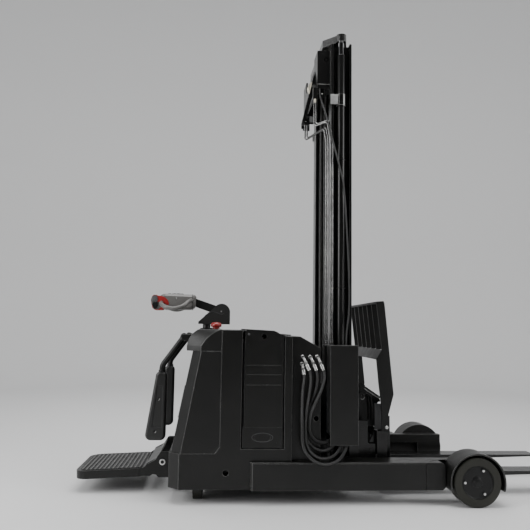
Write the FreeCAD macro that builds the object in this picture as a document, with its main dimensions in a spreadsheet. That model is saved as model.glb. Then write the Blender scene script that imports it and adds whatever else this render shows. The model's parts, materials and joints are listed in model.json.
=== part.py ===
"""Stand-on reach truck with a moving mast, as a parametric FreeCAD document.

Lengths are in millimetres and angles in degrees. +X points to the fork tips, +Z up and +Y to the
truck's left. The origin is on the floor, under the middle of the truck. Every driving size is in
the sheet, and each formula below keeps its link to the sheet's cells.
"""
import FreeCAD, Part
import math
import os

import Sketcher
from FreeCAD import Placement, Rotation, Vector

DIMENSIONS = {
    # overall
    "half_length": 1400,
    "body_half": 465,
    "body_rear": -878,
    "body_front": -241,
    "skirt_low": 79,
    "skirt_high": 258,
    "wall": 8,
    # corner chamfer seen from above
    "chamfer_y": 412,
    "chamfer_run": 55,
    # rear cover and dashboard
    "cover_rear_low": -868,
    "cover_rear_high": -768,
    "cover_front": -615,
    "dash_low": 781,
    "band_high": 806,
    "dash_rear": -801,
    "dash_high": 895,
    "dash_top_rear": -739,
    # battery compartment
    "tower_front": -506,
    "door_front": -286,
    "door_low": 288,
    "pillar_high": 864,
    "lid_high": 893,
    "wall_front": -86,
    "wall_high": 803,
    "side_plate_y": 440,
    # straddle legs and load wheels
    "leg_outer": 488,
    "leg_inner": 359,
    "leg_low": 76,
    "leg_high": 219,
    "leg_rear": -459,
    "leg_front": 848,
    "leg_neck": 403,
    "leg_wall": 10,
    "leg_curve": 160,
    "leg_lip": 5,
    "track_low": 90,
    "track_high": 167,
    "track_deep": 34,
    "track_end": 692,
    "load_axle_x": 720,
    "load_radius": 127,
    "load_width": 100,
    "load_face": 536,
    "fender_outer": 544,
    "fender_radius": 148,
    "fender_low": 84,
    "hub_radius": 84,
    # drive wheel and casters
    "steer_x": -710,
    "drive_radius": 115,
    "drive_width": 78,
    "caster_x": -727,
    "caster_y": 290,
    "caster_trail": 34,
    "caster_radius": 50,
    "caster_width": 50,
    # platform
    "pin_x": -925,
    "pin_z": 171,
    "deck_half": 228,
    "deck_inner": -1034,
    "deck_thick": 42,
    # guard arms
    "guard_y": 258,
    "guard_x": -826,
    "guard_z": 852,
    # tiller
    "tiller_x": -624,
    "tiller_z": 1000,
    # mast unit
    "rail_rear": -16,
    "rail_front": 103,
    "rail_flange": 13,
    "rail_web": 9,
    "outer_low": 62,
    "outer_high": 2565,
    "outer_web_y": 286,
    "flange_out": 334,
    "flange_in": 244,
    "inner_rear": 4,
    "inner_front": 83,
    "inner_web_y": 266,
    "inner_in": 226,
    "inner_out": 278,
    "inner_low": 75,
    "head_low": 2304,
    "head_high": 2533,
    "head_tie_high": 2455,
    "chain_anchor": 640,
    "sheave_z": 2532,
    "pipe_y": 341,
    "plate_low": 2576,
    "plate_high": 2620,
    "ram_x": 42,
    "ram_y": 322,
    "tube_radius": 24,
    "rod_radius": 17.5,
    "ram_low": 226,
    "tube_high": 2494,
    # carriage and forks
    "carriage_half": 345,
    "fork_face": 330,
    "fork_thick": 40,
    "fork_width": 120,
    "fork_centre": 220,
    "fork_top": 128,
    "reach_y": 190,
    "reach_z": 140,
    "barrel_rear": -650,
    "battery_low": 196,
    "tilt_x": 214,
    "tilt_z": 250,
}

doc = FreeCAD.newDocument("ReachTruck")
sheet = doc.addObject("Spreadsheet::Sheet", "Dims")
for row, (alias, number) in enumerate(DIMENSIONS.items(), start=1):
    sheet.set(f"A{row}", alias)
    sheet.set(f"B{row}", str(number))
    sheet.setAlias(f"B{row}", alias)
doc.recompute()


class Size:
    """A length that keeps its number and the sheet formula it came from."""

    def __init__(self, number, formula=None):
        self.number = float(number)
        self.formula = formula if formula else repr(float(number))

    def __add__(self, other):
        other = size(other)
        return Size(self.number + other.number, f"({self.formula} + {other.formula})")

    def __sub__(self, other):
        other = size(other)
        return Size(self.number - other.number, f"({self.formula} - {other.formula})")

    def __mul__(self, other):
        other = size(other)
        return Size(self.number * other.number, f"({self.formula} * {other.formula})")

    def __truediv__(self, other):
        other = size(other)
        return Size(self.number / other.number, f"({self.formula} / {other.formula})")

    def __neg__(self):
        return Size(-self.number, f"(0 - {self.formula})")

    def __radd__(self, other):
        return size(other) + self

    def __rsub__(self, other):
        return size(other) - self

    __rmul__ = __mul__


def size(value):
    """Any number or Size, as a Size."""
    return value if isinstance(value, Size) else Size(value)


class Sheet:
    """The sheet's cells by name, as Size values."""

    def __getattr__(self, alias):
        return Size(sheet.get(alias), f"Dims.{alias}")


d = Sheet()


def bind(obj, **properties):
    """Bind each property of an object to a formula."""
    for name, value in properties.items():
        obj.setExpression(name, size(value).formula)


def place(obj, x, y, z):
    """Bind an object's position to three formulas."""
    for axis, value in zip("xyz", (x, y, z)):
        obj.setExpression(f"Placement.Base.{axis}", size(value).formula)


# ---------------------------------------------------------------- primitives and booleans
def box(name, x, y, z):
    """A block between two formulas on each axis."""
    block = doc.addObject("Part::Box", name)
    bind(block, Length=x[1] - size(x[0]), Width=y[1] - size(y[0]), Height=z[1] - size(z[0]))
    place(block, x[0], y[0], z[0])
    return block


TURNS = {
    "X": Rotation(Vector(0, 1, 0), 90),
    "Y": Rotation(Vector(1, 0, 0), -90),
    "Z": Rotation(),
}


def round_bar(name, axis, at, radius, length):
    """A cylinder along one axis that starts at a point and runs in the positive direction."""
    bar = doc.addObject("Part::Cylinder", name)
    bar.Placement = Placement(Vector(), TURNS[axis])
    bind(bar, Radius=radius, Height=length)
    place(bar, *at)
    return bar


def fuse(name, *parts):
    """Several shapes as one."""
    joined = doc.addObject("Part::MultiFuse", name)
    joined.Shapes = list(parts)
    joined.Refine = True
    return joined


def cut(name, base, *tools):
    """A shape with others taken away."""
    tool = tools[0] if len(tools) == 1 else group(f"{name}_tools", *tools)
    result = doc.addObject("Part::Cut", name)
    result.Base = base
    result.Tool = tool
    result.Refine = True
    return result


def common(name, base, tool):
    """What two shapes share."""
    result = doc.addObject("Part::Common", name)
    result.Base = base
    result.Tool = tool
    return result


def group(name, *parts):
    """Shapes kept side by side in one compound."""
    compound = doc.addObject("Part::Compound", name)
    compound.Links = list(parts)
    return compound


def mirrored(name, source):
    """The same piece on the truck's other side."""
    twin = doc.addObject("Part::Mirroring", name)
    twin.Source = source
    twin.Normal = Vector(0, 1, 0)
    return twin


# ---------------------------------------------------------------- sketched profiles
PLANES = {
    "X": Rotation(Vector(1, 1, 1), 120),
    "Y": Rotation(Vector(1, 0, 0), 90),
    "Z": Rotation(),
}


class Bow:
    """An outline's next corner, reached along an arc of the given radius; bulge is +1 or -1."""

    def __init__(self, across, up, radius, bulge=1):
        self.corner = (across, up)
        self.radius = size(radius)
        self.bulge = bulge


def arc_between(start, end, radius, bulge):
    """The short arc of a radius from start to end; bulge +1 keeps its centre on the left."""
    chord = end - start
    middle = (start + end) * 0.5
    rise = max(radius**2 - (chord.Length / 2) ** 2, 0) ** 0.5
    left = Vector(-chord.y, chord.x, 0).normalize()
    centre = middle + left * rise * bulge
    first, last = (start, end) if bulge > 0 else (end, start)
    low, high = (math.atan2(point.y - centre.y, point.x - centre.x) for point in (first, last))
    circle = Part.Circle(centre, Vector(0, 0, 1), radius)
    return Part.ArcOfCircle(circle, low, high if high > low else high + 2 * math.pi)


def profile(name, axis, outline):
    """A closed sketch across an axis, its corners and arc radii bound to the sheet."""
    drawn = doc.addObject("Sketcher::SketchObject", name)
    drawn.Placement = Placement(Vector(), PLANES[axis])
    corners = []
    for item in outline:
        across, up = item.corner if isinstance(item, Bow) else item
        corners.append((size(across), size(up)))
    points = [Vector(across.number, up.number, 0) for across, up in corners]
    count = len(points)
    for index in range(count):
        start = points[index]
        end = points[(index + 1) % count]
        step = outline[(index + 1) % count]
        if isinstance(step, Bow):
            drawn.addGeometry(arc_between(start, end, step.radius.number, step.bulge), False)
        else:
            drawn.addGeometry(Part.LineSegment(start, end), False)
    arcs = {}
    for index in range(count):
        step = outline[(index + 1) % count]
        if isinstance(step, Bow):
            arcs[index] = step
    ends = {}
    for index in range(count):
        turned = index in arcs and drawn.Geometry[index].StartPoint.distanceToPoint(points[index]) > 1e-4
        ends[index] = (2, 1) if turned else (1, 2)
    for index in range(count):
        after = (index + 1) % count
        drawn.addConstraint(
            Sketcher.Constraint("Coincident", index, ends[index][1], after, ends[after][0])
        )
    for index, (across, up) in enumerate(corners):
        for kind, value in (("DistanceX", across), ("DistanceY", up)):
            rule = drawn.addConstraint(
                Sketcher.Constraint(kind, -1, 1, index, ends[index][0], value.number)
            )
            drawn.setExpression(f"Constraints[{rule}]", value.formula)
    for index, step in arcs.items():
        rule = drawn.addConstraint(Sketcher.Constraint("Radius", index, step.radius.number))
        drawn.setExpression(f"Constraints[{rule}]", step.radius.formula)
    return drawn


def prism(name, axis, outline, low, high):
    """A profile across an axis, carried from low to high along it."""
    drawn = profile(f"{name}_profile", axis, outline)
    solid = doc.addObject("Part::Extrusion", name)
    solid.Base = drawn
    solid.DirMode = "Normal"
    solid.Solid = True
    if axis == "Y":
        drawn.setExpression("Placement.Base.y", size(high).formula)
    elif axis == "X":
        drawn.setExpression("Placement.Base.x", size(low).formula)
    else:
        drawn.setExpression("Placement.Base.z", size(low).formula)
    bind(solid, LengthFwd=high - size(low))
    return solid


def chamfered(name, middle, side, corner_y, half):
    """A side profile carried across the truck, its rear corners cut off as seen from above.

    The middle is straight. Each end is a ruled loft from the middle's profile to the side's,
    which starts further forward.
    """
    parts = [prism(f"{name}_middle", "Y", middle, -size(corner_y), corner_y)]
    for hand, sign in (("left", 1), ("right", -1)):
        sections = []
        for place_name, outline, at in (("in", middle, corner_y), ("out", side, half)):
            drawn = profile(f"{name}_{hand}_{place_name}", "Y", outline)
            drawn.setExpression("Placement.Base.y", (size(at) * sign).formula)
            sections.append(drawn)
        end = doc.addObject("Part::Loft", f"{name}_{hand}")
        end.Sections = sections
        end.Solid = True
        end.Ruled = True
        parts.append(end)
    return fuse(f"{name}_whole", *parts)


def turned(name, axis, x, y, z, outline):
    """A solid turned about a line along Y or Z through a point.

    The outline's first number is the distance from that line and its second is the place along
    the line.
    """
    if axis == "Y":
        drawn = profile(f"{name}_profile", "Z", [raised(item, x) for item in outline])
        drawn.setExpression("Placement.Base.z", size(z).formula)
    else:
        drawn = profile(f"{name}_profile", "Y", [raised(item, x) for item in outline])
        drawn.setExpression("Placement.Base.y", size(y).formula)
    solid = doc.addObject("Part::Revolution", name)
    solid.Source = drawn
    solid.Axis = Vector(0, 1, 0) if axis == "Y" else Vector(0, 0, 1)
    solid.Solid = True
    for letter, value in zip("xyz", (x, y, z)):
        solid.setExpression(f"Base.{letter}", size(value).formula)
    return solid


def raised(item, x):
    """An outline's corner or arc, moved away from the origin by x."""
    if isinstance(item, Bow):
        return Bow(item.corner[0] + size(x), item.corner[1], item.radius, item.bulge)
    return (item[0] + size(x), item[1])


def cushioned(name, outline, half, ease, middle=0):
    """A slab across Y whose rim is eased: outline(inset) gives each of its four sections."""
    sections = []
    for index, (at, inset) in enumerate(((-half, ease), (ease - half, 0), (half - ease, 0), (half, ease))):
        drawn = profile(f"{name}_section_{index + 1}", "Y", outline(inset))
        drawn.setExpression("Placement.Base.y", (size(middle) + at).formula)
        sections.append(drawn)
    slab = doc.addObject("Part::Loft", name)
    slab.Sections = sections
    slab.Solid = True
    slab.Ruled = True
    return slab


def slanted_bar(name, start, end, radius):
    """A cylinder from one point to another."""
    run = Vector(*end) - Vector(*start)
    bar = doc.addObject("Part::Cylinder", name)
    bar.Placement = Placement(Vector(*start), Rotation(Vector(0, 0, 1), run))
    bind(bar, Radius=radius, Height=run.Length)
    return bar


def tube(name, points, radius, bends=0):
    """A round bar along straight runs joined by tangent arcs.

    Each corner's arc has the radius given for it, or takes 0.45 of the shorter run where bends
    is 0.
    """
    path = [Vector(*point) for point in points]
    edges = []
    start = path[0]
    radii = []
    for index in range(1, len(path) - 1):
        before = path[index] - path[index - 1]
        after = path[index + 1] - path[index]
        turn = before.getAngle(after)
        shorter = min(before.Length, after.Length)
        bend = bends if bends else 0.45 * shorter / math.tan(turn / 2)
        back = bend * math.tan(turn / 2)
        radii.append(bend)
        into = path[index] - before.normalize() * back
        out = path[index] + after.normalize() * back
        inward = (into + out) * 0.5 - path[index]
        to_centre = math.hypot(bend, back)
        crest = path[index] + inward.normalize() * (to_centre - bend)
        edges.append(Part.LineSegment(start, into).toShape())
        edges.append(Part.Arc(into, crest, out).toShape())
        start = out
    edges.append(Part.LineSegment(start, path[-1]).toShape())
    wire = Part.Wire(edges)
    first = path[1] - path[0]
    circle = Part.Wire(Part.makeCircle(radius, path[0], first))
    solid = wire.makePipeShell([circle], True, False)
    piece = doc.addObject("Part::Feature", name)
    piece.Shape = solid
    ideal = math.pi * radius**2 * wire.Length
    if abs(solid.Volume - ideal) > 0.01 * ideal:
        raise RuntimeError(f"{name} is not a clean tube")
    if radii and not bends:
        print(name, "length", round(wire.Length), "radii", [round(r) for r in radii])
    return piece


NODES = {}


def node(name, shape):
    """Name a finished piece."""
    shape.Label = name
    NODES[name] = shape
    return shape


# ---------------------------------------------------------------- chassis
def two_sided(name, make):
    """The left and right pieces of one shape that is drawn on the right side."""
    right = make(f"{name}_right")
    node(f"{name}_right", right)
    node(f"{name}_left", mirrored(f"{name}_left_twin", right))


def base_frame():
    """Skirt, battery well, tower behind the battery and pillars in front of it."""
    skirt = chamfered(
        "skirt",
        [
            (d.body_rear, d.skirt_low),
            (d.body_rear, d.skirt_high),
            (d.body_front, d.skirt_high),
            (d.body_front, d.skirt_low),
        ],
        [
            (d.body_rear + d.chamfer_run, d.skirt_low),
            (d.body_rear + d.chamfer_run, d.skirt_high),
            (d.body_front, d.skirt_high),
            (d.body_front, d.skirt_low),
        ],
        d.chamfer_y,
        d.body_half,
    )
    inner = d.body_half - d.wall
    drive_bay = chamfered(
        "drive_bay",
        [
            (d.body_rear + d.wall, 0),
            (d.body_rear + d.wall, d.skirt_high - d.wall),
            (d.tower_front - d.wall, d.skirt_high - d.wall),
            (d.tower_front - d.wall, 0),
        ],
        [
            (d.body_rear + d.chamfer_run + d.wall, 0),
            (d.body_rear + d.chamfer_run + d.wall, d.skirt_high - d.wall),
            (d.tower_front - d.wall, d.skirt_high - d.wall),
            (d.tower_front - d.wall, 0),
        ],
        d.chamfer_y - d.wall / 2,
        inner,
    )
    well = box(
        "battery_well",
        (d.tower_front, d.body_front - d.wall),
        (-inner, inner),
        (d.skirt_low + d.wall, d.skirt_high + 1),
    )
    turntable_hole = round_bar("turntable_hole", "Z", (d.steer_x, 0, 200), 106, 100)
    barrel_room = round_bar("barrel_room", "X", (d.tower_front - 20, d.reach_y, d.reach_z), 33, 300)
    side_hole = round_bar("side_hole", "Y", (-582, -d.body_half - 1, 162), 15, 2 * d.body_half + 2)
    hollow = cut("skirt_hollow", skirt, drive_bay, well, turntable_hole, barrel_room, side_hole)
    tower_out = box(
        "tower_out",
        (d.cover_front, d.tower_front),
        (-d.body_half, d.body_half),
        (d.skirt_high, d.lid_high),
    )
    tower_in = box(
        "tower_in",
        (d.cover_front + d.wall, d.tower_front - d.wall),
        (-inner, inner),
        (d.skirt_high, d.lid_high - d.wall),
    )
    tower = cut("tower", tower_out, tower_in)
    cross_wall = box(
        "cross_wall",
        (d.body_front - d.wall, d.body_front),
        (-d.body_half, d.body_half),
        (d.skirt_high, d.pillar_high),
    )
    shelf = box("battery_shelf", (d.tower_front - 1, d.body_front - d.wall + 1), (-inner - 1, inner + 1),
                (d.battery_low - d.wall, d.battery_low))
    anchor = box("reach_anchor", (d.barrel_rear - 40, d.barrel_rear), (d.reach_y - 30, d.reach_y + 30),
                 (d.reach_z - 30, d.skirt_high - d.wall + 1))
    parts = [hollow, tower, cross_wall, shelf, anchor]
    for hand, sign in (("left", 1), ("right", -1)):
        low, high = sorted(((d.body_half - 45) * sign, d.body_half * sign), key=lambda s: s.number)
        parts.append(
            box(f"pillar_{hand}", (d.door_front + 4, d.body_front), (low, high),
                (d.skirt_high, d.pillar_high))
        )
        low, high = sorted((inner * sign, d.body_half * sign), key=lambda s: s.number)
        parts.append(
            box(f"sill_{hand}", (d.tower_front, d.body_front), (low, high),
                (d.skirt_high, d.door_low - 5))
        )
        corner = [
            (d.cover_front - 26, d.skirt_high), (d.cover_front + 1, d.skirt_high + 34),
            (d.cover_front + 1, d.skirt_high),
        ]
        low, high = sorted(((d.body_half - 6) * sign, d.body_half * sign), key=lambda s: s.number)
        parts.append(prism(f"corner_gusset_{hand}", "Y", corner, low, high))
        low, high = sorted((250 * sign, 340 * sign))
        block = box(f"caster_seat_{hand}", (d.caster_x - 50, d.caster_x + 50), (low, high),
                    (150, d.skirt_high - d.wall))
        bore = round_bar(f"caster_bore_{hand}", "Z", (d.caster_x, d.caster_y * sign, 140), 16.05, 40)
        parts.append(cut(f"caster_block_{hand}", block, bore))
    return fuse("base_frame_whole", *parts)


def platform_bracket():
    """Two cheeks behind the skirt, the guard plate between them and the pins they carry."""
    def near(x, z):
        return (d.pin_x + x, d.pin_z + z)

    cheek = [
        near(47, 54), near(-3, 54), Bow(d.pin_x - 16, d.pin_z + 46, 14, 1), near(-38, 11),
        near(-90, -16), near(-90, -60), near(-33, -68), near(-22, -82), near(47, -82),
    ]
    plate = [near(-90, -16), near(-38, 11), near(-16, 46), near(-10, 42), near(-33, 4), near(-88, -24)]
    parts = [prism("toe_guard", "Y", plate, -207, 207)]
    for hand, sign in (("left", 1), ("right", -1)):
        low, high = sorted((231 * sign, 243 * sign))
        parts.append(prism(f"cheek_{hand}", "Y", cheek, low, high))
        low, high = sorted((201 * sign, 207 * sign))
        parts.append(prism(f"inner_cheek_{hand}", "Y", cheek, low, high))
        low = min(206 * sign, 250 * sign)
        parts.append(round_bar(f"platform_pin_{hand}", "Y", (d.pin_x, low, d.pin_z), 12, 44))
        low = min(243 * sign, 249 * sign)
        parts.append(round_bar(f"platform_pin_head_{hand}", "Y", (d.pin_x, low, d.pin_z), 16, 6))
    return fuse("platform_bracket_whole", *parts)


def rear_cover():
    """Hollow hood over the drive motor, its rear face leaning forward."""
    def outline(rear_low, rear_high, low, high):
        return [(rear_low, low), (rear_high, high), (d.cover_front, high), (d.cover_front, low)]

    skin = 6
    outer = chamfered(
        "hood",
        outline(d.cover_rear_low, d.cover_rear_high, d.skirt_high, d.dash_low),
        outline(d.cover_rear_low + 52, d.cover_rear_high + 47, d.skirt_high, d.dash_low),
        d.chamfer_y,
        d.body_half,
    )

    def inside(shift):
        return [
            (d.cover_rear_low + skin + shift, d.skirt_high - 1),
            (d.cover_rear_high + skin + shift, d.dash_low - skin),
            (d.cover_front + 1, d.dash_low - skin),
            (d.cover_front + 1, d.skirt_high - 1),
        ]

    inner = chamfered("hood_inside", inside(0), inside(50), d.chamfer_y - 3, d.body_half - skin)
    corner = [
        (d.cover_front - 29, d.skirt_high - 2), (d.cover_front + 2, d.skirt_high + 38),
        (d.cover_front + 2, d.skirt_high - 2),
    ]
    corners = prism("hood_corners", "Y", corner, -d.body_half - 1, d.body_half + 1)
    shell = cut("hood_shell", outer, inner, corners)
    slope = (d.cover_rear_high - d.cover_rear_low) / (d.dash_low - d.skirt_high)

    def on_face(z, proud):
        return (d.cover_rear_low + slope * (z - d.skirt_high) - proud, z)

    pad = [on_face(400, -2), on_face(408, 10), on_face(582, 10), on_face(592, -2)]
    return fuse("rear_cover_whole", shell, prism("knee_pad", "Y", pad, -240, 240))


def dashboard():
    """Console on the hood: a straight band under a rounded top, with the guard arms' lugs."""
    def outline(rear, top_rear, radius):
        return [
            (rear, d.dash_low),
            (rear, d.band_high),
            Bow(top_rear, d.dash_high, radius, -1),
            (d.cover_front, d.dash_high),
            (d.cover_front, d.dash_low),
        ]

    console = chamfered(
        "console",
        outline(d.dash_rear, d.dash_top_rear, 110),
        outline(d.dash_rear + 78, d.dash_top_rear + 118, 180),
        d.chamfer_y,
        d.body_half,
    )
    column_hole = round_bar("column_hole", "Z", (d.steer_x, 0, d.dash_high - 60), 27, 80)
    parts = [cut("console_bored", console, column_hole)]
    for hand, sign in (("left", 1), ("right", -1)):
        for place_name, offset in (("in", -26), ("out", 26)):
            middle = (d.guard_y + offset) * sign
            lug = box(f"guard_lug_{place_name}_{hand}", (d.guard_x - 14, d.guard_x + 70),
                      (middle - 4, middle + 4), (d.guard_z - 20, d.guard_z + 14))
            parts.append(lug)
        start = (d.guard_y * sign - 30)
        parts.append(
            round_bar(f"guard_pin_{hand}", "Y", (d.guard_x, start, d.guard_z), 8, 60)
        )
    return fuse("dashboard_whole", *parts)


def front_frame():
    """Housing between the battery and the mast: side plates, sloped top and front wall."""
    y = d.side_plate_y
    outline = [
        (d.body_front, d.leg_high),
        (d.body_front, d.pillar_high),
        (d.body_front + 43, d.pillar_high),
        (d.wall_front, d.wall_high),
        (d.wall_front, d.leg_high),
    ]
    inside = [
        (d.body_front - 1, d.leg_high - 1),
        (d.body_front - 1, d.pillar_high - d.wall),
        (d.body_front + 41, d.pillar_high - d.wall),
        (d.wall_front - d.wall, d.wall_high - d.wall),
        (d.wall_front - d.wall, d.leg_high - 1),
    ]
    outer = prism("front_housing", "Y", outline, -y, y)
    inner = prism("front_hollow", "Y", inside, d.wall - y, y - d.wall)
    shell = cut("front_shell", outer, inner)
    gap = d.leg_inner - 1
    wall = box("front_wall_low", (d.wall_front - d.wall, d.wall_front), (-gap, gap),
               (d.skirt_low, d.leg_high))
    floor = box("front_floor", (d.body_front, d.wall_front), (-gap, gap),
                (d.skirt_low, d.skirt_low + d.wall))
    cylinder_hole = round_bar("reach_hole", "X", (d.wall_front - 20, d.reach_y, d.reach_z), 33, 40)
    side_holes = round_bar("side_plate_hole", "Y", (-110, -y - 1, 435), 13, 2 * y + 2)
    return cut("front_frame_whole", fuse("front_plates", shell, wall, floor), cylinder_hole, side_holes)


def leg(name):
    """A right-hand straddle leg: lipped box beam, roller track, fender and axle stub.

    The outer face curves in ahead of the fender, which rises from it round the wheel.
    """
    inner, outer, neck = -d.leg_inner, -d.leg_outer, -d.leg_neck
    curve_start = 470

    def plan(inset):
        """The beam seen from above, its outer face moved in."""
        return [
            (d.body_front, inner),
            (d.leg_front, inner),
            (d.leg_front, neck),
            (curve_start + 141, neck),
            Bow(curve_start, outer + inset, d.leg_curve - inset * 2, 1),
            (d.leg_rear + 14, outer + inset),
            (d.leg_rear + inset, outer + 14),
            (d.leg_rear + inset, -d.body_half),
            (d.body_front, -d.body_half),
        ]

    beam = prism(f"{name}_beam", "Z", plan(d.leg_lip), d.leg_low, d.leg_high - 7)
    top = prism(f"{name}_top", "Z", plan(0), d.leg_high - 7, d.leg_high)
    disc = round_bar(f"{name}_arch", "Y", (d.load_axle_x, -d.fender_outer, d.load_radius),
                     d.fender_radius, d.fender_outer - d.leg_neck)
    track = box(f"{name}_track", (d.body_front - 1, d.track_end), (inner - d.track_deep, inner + 1),
                (d.track_low, d.track_high))
    cavity = box(f"{name}_cavity", (d.body_front + d.leg_wall, curve_start), (outer + 15, neck),
                 (d.leg_low + d.leg_wall, d.leg_high - d.leg_wall))
    room = round_bar(f"{name}_arch_room", "Y", (d.load_axle_x, -d.fender_outer - 1, d.load_radius),
                     d.fender_radius - 8, d.fender_outer - d.leg_neck - 5)
    below = box(f"{name}_arch_below", (d.load_axle_x - 152, d.load_axle_x + 200),
                (-d.fender_outer - 2, neck + 2), (-100, d.fender_low))
    shell = cut(f"{name}_shell", fuse(f"{name}_solid", beam, top, disc), track, cavity, room, below)
    stub = round_bar(f"{name}_axle", "Y", (d.load_axle_x, -d.load_face + 30, d.load_radius), 20,
                     d.load_face - 30 - d.leg_neck)
    return fuse(f"{name}_whole", shell, stub)


# ---------------------------------------------------------------- wheels
def load_tyre(name):
    """Polyurethane tread of a load wheel, its edges rounded."""
    face, back = -d.load_face, -d.load_face + d.load_width
    rim, ease = d.load_radius, 9
    outline = [
        (d.hub_radius, face), (rim - ease, face), Bow(rim, face + ease, ease, 1),
        (rim, back - ease), Bow(rim - ease, back, ease, 1), (d.hub_radius, back),
    ]
    return turned(f"{name}_ring", "Y", d.load_axle_x, 0, d.load_radius, outline)


def load_hub(name):
    """Cast centre of a load wheel: raised rim, sunk web and cap, blind-bored for the stub."""
    face = -d.load_face
    back = face + d.load_width - 4
    outline = [
        (0, face + 2), (22, face + 2), (25, face + 5), (25, face + 9), (d.hub_radius - 6, face + 9),
        (d.hub_radius - 4, face + 3), (d.hub_radius, face + 3), (d.hub_radius, back), (20.05, back),
        (20.05, face + 24), (0, face + 24),
    ]
    return turned(f"{name}_whole", "Y", d.load_axle_x, 0, d.load_radius, outline)


def drive_unit():
    """Turntable, motor above it and gear case beside the drive wheel."""
    turntable = round_bar("turntable", "Z", (d.steer_x, 0, 236), 100, 22)
    motor = round_bar("drive_motor", "Z", (d.steer_x, 0, 258), 88, 298)
    half = d.drive_width / 2
    case = box("gear_case", (d.steer_x - 62, d.steer_x + 62), (half + 7, half + 62), (50, 236))
    bore = round_bar("gear_bore", "Y", (d.steer_x, half, d.drive_radius), 25.05, 50)
    return fuse("drive_unit_whole", turntable, motor, cut("gear_case_bored", case, bore))


def drive_wheel():
    """Drive wheel with its shaft."""
    half = d.drive_width / 2
    wheel = round_bar("drive_disc", "Y", (d.steer_x, -half, d.drive_radius), d.drive_radius,
                      d.drive_width)
    shaft = round_bar("drive_shaft", "Y", (d.steer_x, half, d.drive_radius), 25, 48)
    return fuse("drive_wheel_whole", wheel, shaft)


def caster_fork(name):
    """A right-hand swivel fork, stored with its wheel trailing outwards."""
    wheel_y = -d.caster_y - d.caster_trail
    half = d.caster_width / 2
    post = round_bar(f"{name}_post", "Z", (d.caster_x, -d.caster_y, 122), 16, 50)
    washer = round_bar(f"{name}_race", "Z", (d.caster_x, -d.caster_y, 122), 30, 22)
    crown = box(f"{name}_crown", (d.caster_x - half - 13, d.caster_x + half + 13),
                (wheel_y - 18, -d.caster_y + 32), (110, 122))
    parts = [post, washer, crown]
    for place_name, low in (("rear", d.caster_x - half - 13), ("front", d.caster_x + half + 5)):
        parts.append(box(f"{name}_cheek_{place_name}", (low, low + 8), (wheel_y - 18, wheel_y + 40),
                         (36, 110)))
    parts.append(round_bar(f"{name}_axle", "X", (d.caster_x - half - 13, wheel_y, d.caster_radius), 8,
                           d.caster_width + 26))
    return fuse(f"{name}_whole", *parts)


def caster_wheel(name):
    """A right-hand caster wheel on the fork's axle."""
    wheel_y = -d.caster_y - d.caster_trail
    half = d.caster_width / 2
    disc = round_bar(f"{name}_disc", "X", (d.caster_x - half, wheel_y, d.caster_radius),
                     d.caster_radius, d.caster_width)
    bore = round_bar(f"{name}_bore", "X", (d.caster_x - half - 1, wheel_y, d.caster_radius), 8.05,
                     d.caster_width + 2)
    return cut(f"{name}_whole", disc, bore)


# ---------------------------------------------------------------- battery compartment
def battery_panel(name):
    """A right-hand lift-off side panel: finger hole, pressed grooves and a flap at its foot."""
    face = -d.body_half
    flap_high = 395
    outline = [
        (d.tower_front + 6, d.door_low),
        (d.tower_front + 6, flap_high - 6),
        (d.tower_front + 14, flap_high),
        (d.tower_front + 14, 880),
        (d.tower_front + 20, 899),
        (d.tower_front + 162, 893),
        Bow(d.door_front - 24, 877, 90, -1),
        (d.door_front - 4, 868),
        (d.door_front - 4, d.door_low),
    ]
    plate = prism(f"{name}_plate", "Y", outline, face, face + 8)
    tools = [round_bar(f"{name}_hole", "Y", (-392, face - 1, 862), 14, 12)]
    for z in (608, 662, 710):
        tools.append(box(f"{name}_groove", (-482, -302), (face - 1, face + 1.5), (z, z + 3)))
    tools.append(box(f"{name}_flap_line", (-510, -280), (face - 1, face + 3), (flap_high - 4, flap_high)))
    oval = [
        (-375, 321), Bow(-353, 341, 21.5, 1), Bow(-375, 361, 21.5, 1), (-415, 361),
        Bow(-437, 341, 21.5, 1), Bow(-415, 321, 21.5, 1),
    ]
    tools.append(prism(f"{name}_oval", "Y", oval, face - 1, face + 2))
    return cut(f"{name}_whole", plate, *tools)


def battery_lid():
    """Top cover of the battery bay, hinged at its rear edge."""
    outline = [
        (d.tower_front + 6, 886),
        (d.tower_front + 6, 893),
        (d.tower_front + 162, 891),
        Bow(d.door_front - 24, 875, 90, -1),
        (d.door_front + 36, 873),
        (d.door_front + 36, 868),
        (d.door_front - 24, 869),
        (d.tower_front + 162, 884),
    ]
    half = d.body_half - 13
    return prism("battery_lid_whole", "Y", outline, -half, half)


# ---------------------------------------------------------------- operator's end
LEAN = -2.6


def leaned(name, outline, low, high):
    """A plan profile beside the platform's pin, carried upwards square to the leaning deck."""
    drawn = profile(f"{name}_profile", "Z", outline)
    turn = Rotation(Vector(0, 1, 0), LEAN)
    lift = turn.multVec(Vector(0, 0, 1))
    drawn.Placement = Placement(Vector(), turn)
    place(drawn, d.pin_x + lift.x * low, 0, d.pin_z + lift.z * low)
    solid = doc.addObject("Part::Extrusion", name)
    solid.Base = drawn
    solid.DirMode = "Normal"
    solid.Solid = True
    bind(solid, LengthFwd=high - size(low))
    return solid


def rounded_plan(rear, front, half, rear_round, front_round):
    """A rectangle seen from above with rounded corners, between two X places."""
    return [
        Bow(rear + rear_round, -half, rear_round, 1),
        (front - front_round, -half),
        Bow(front, -half + front_round, front_round, 1),
        (front, half - front_round),
        Bow(front - front_round, half, front_round, 1),
        (rear + rear_round, half),
        Bow(rear, half - rear_round, rear_round, 1),
        (rear, -half + rear_round),
    ]


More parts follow.
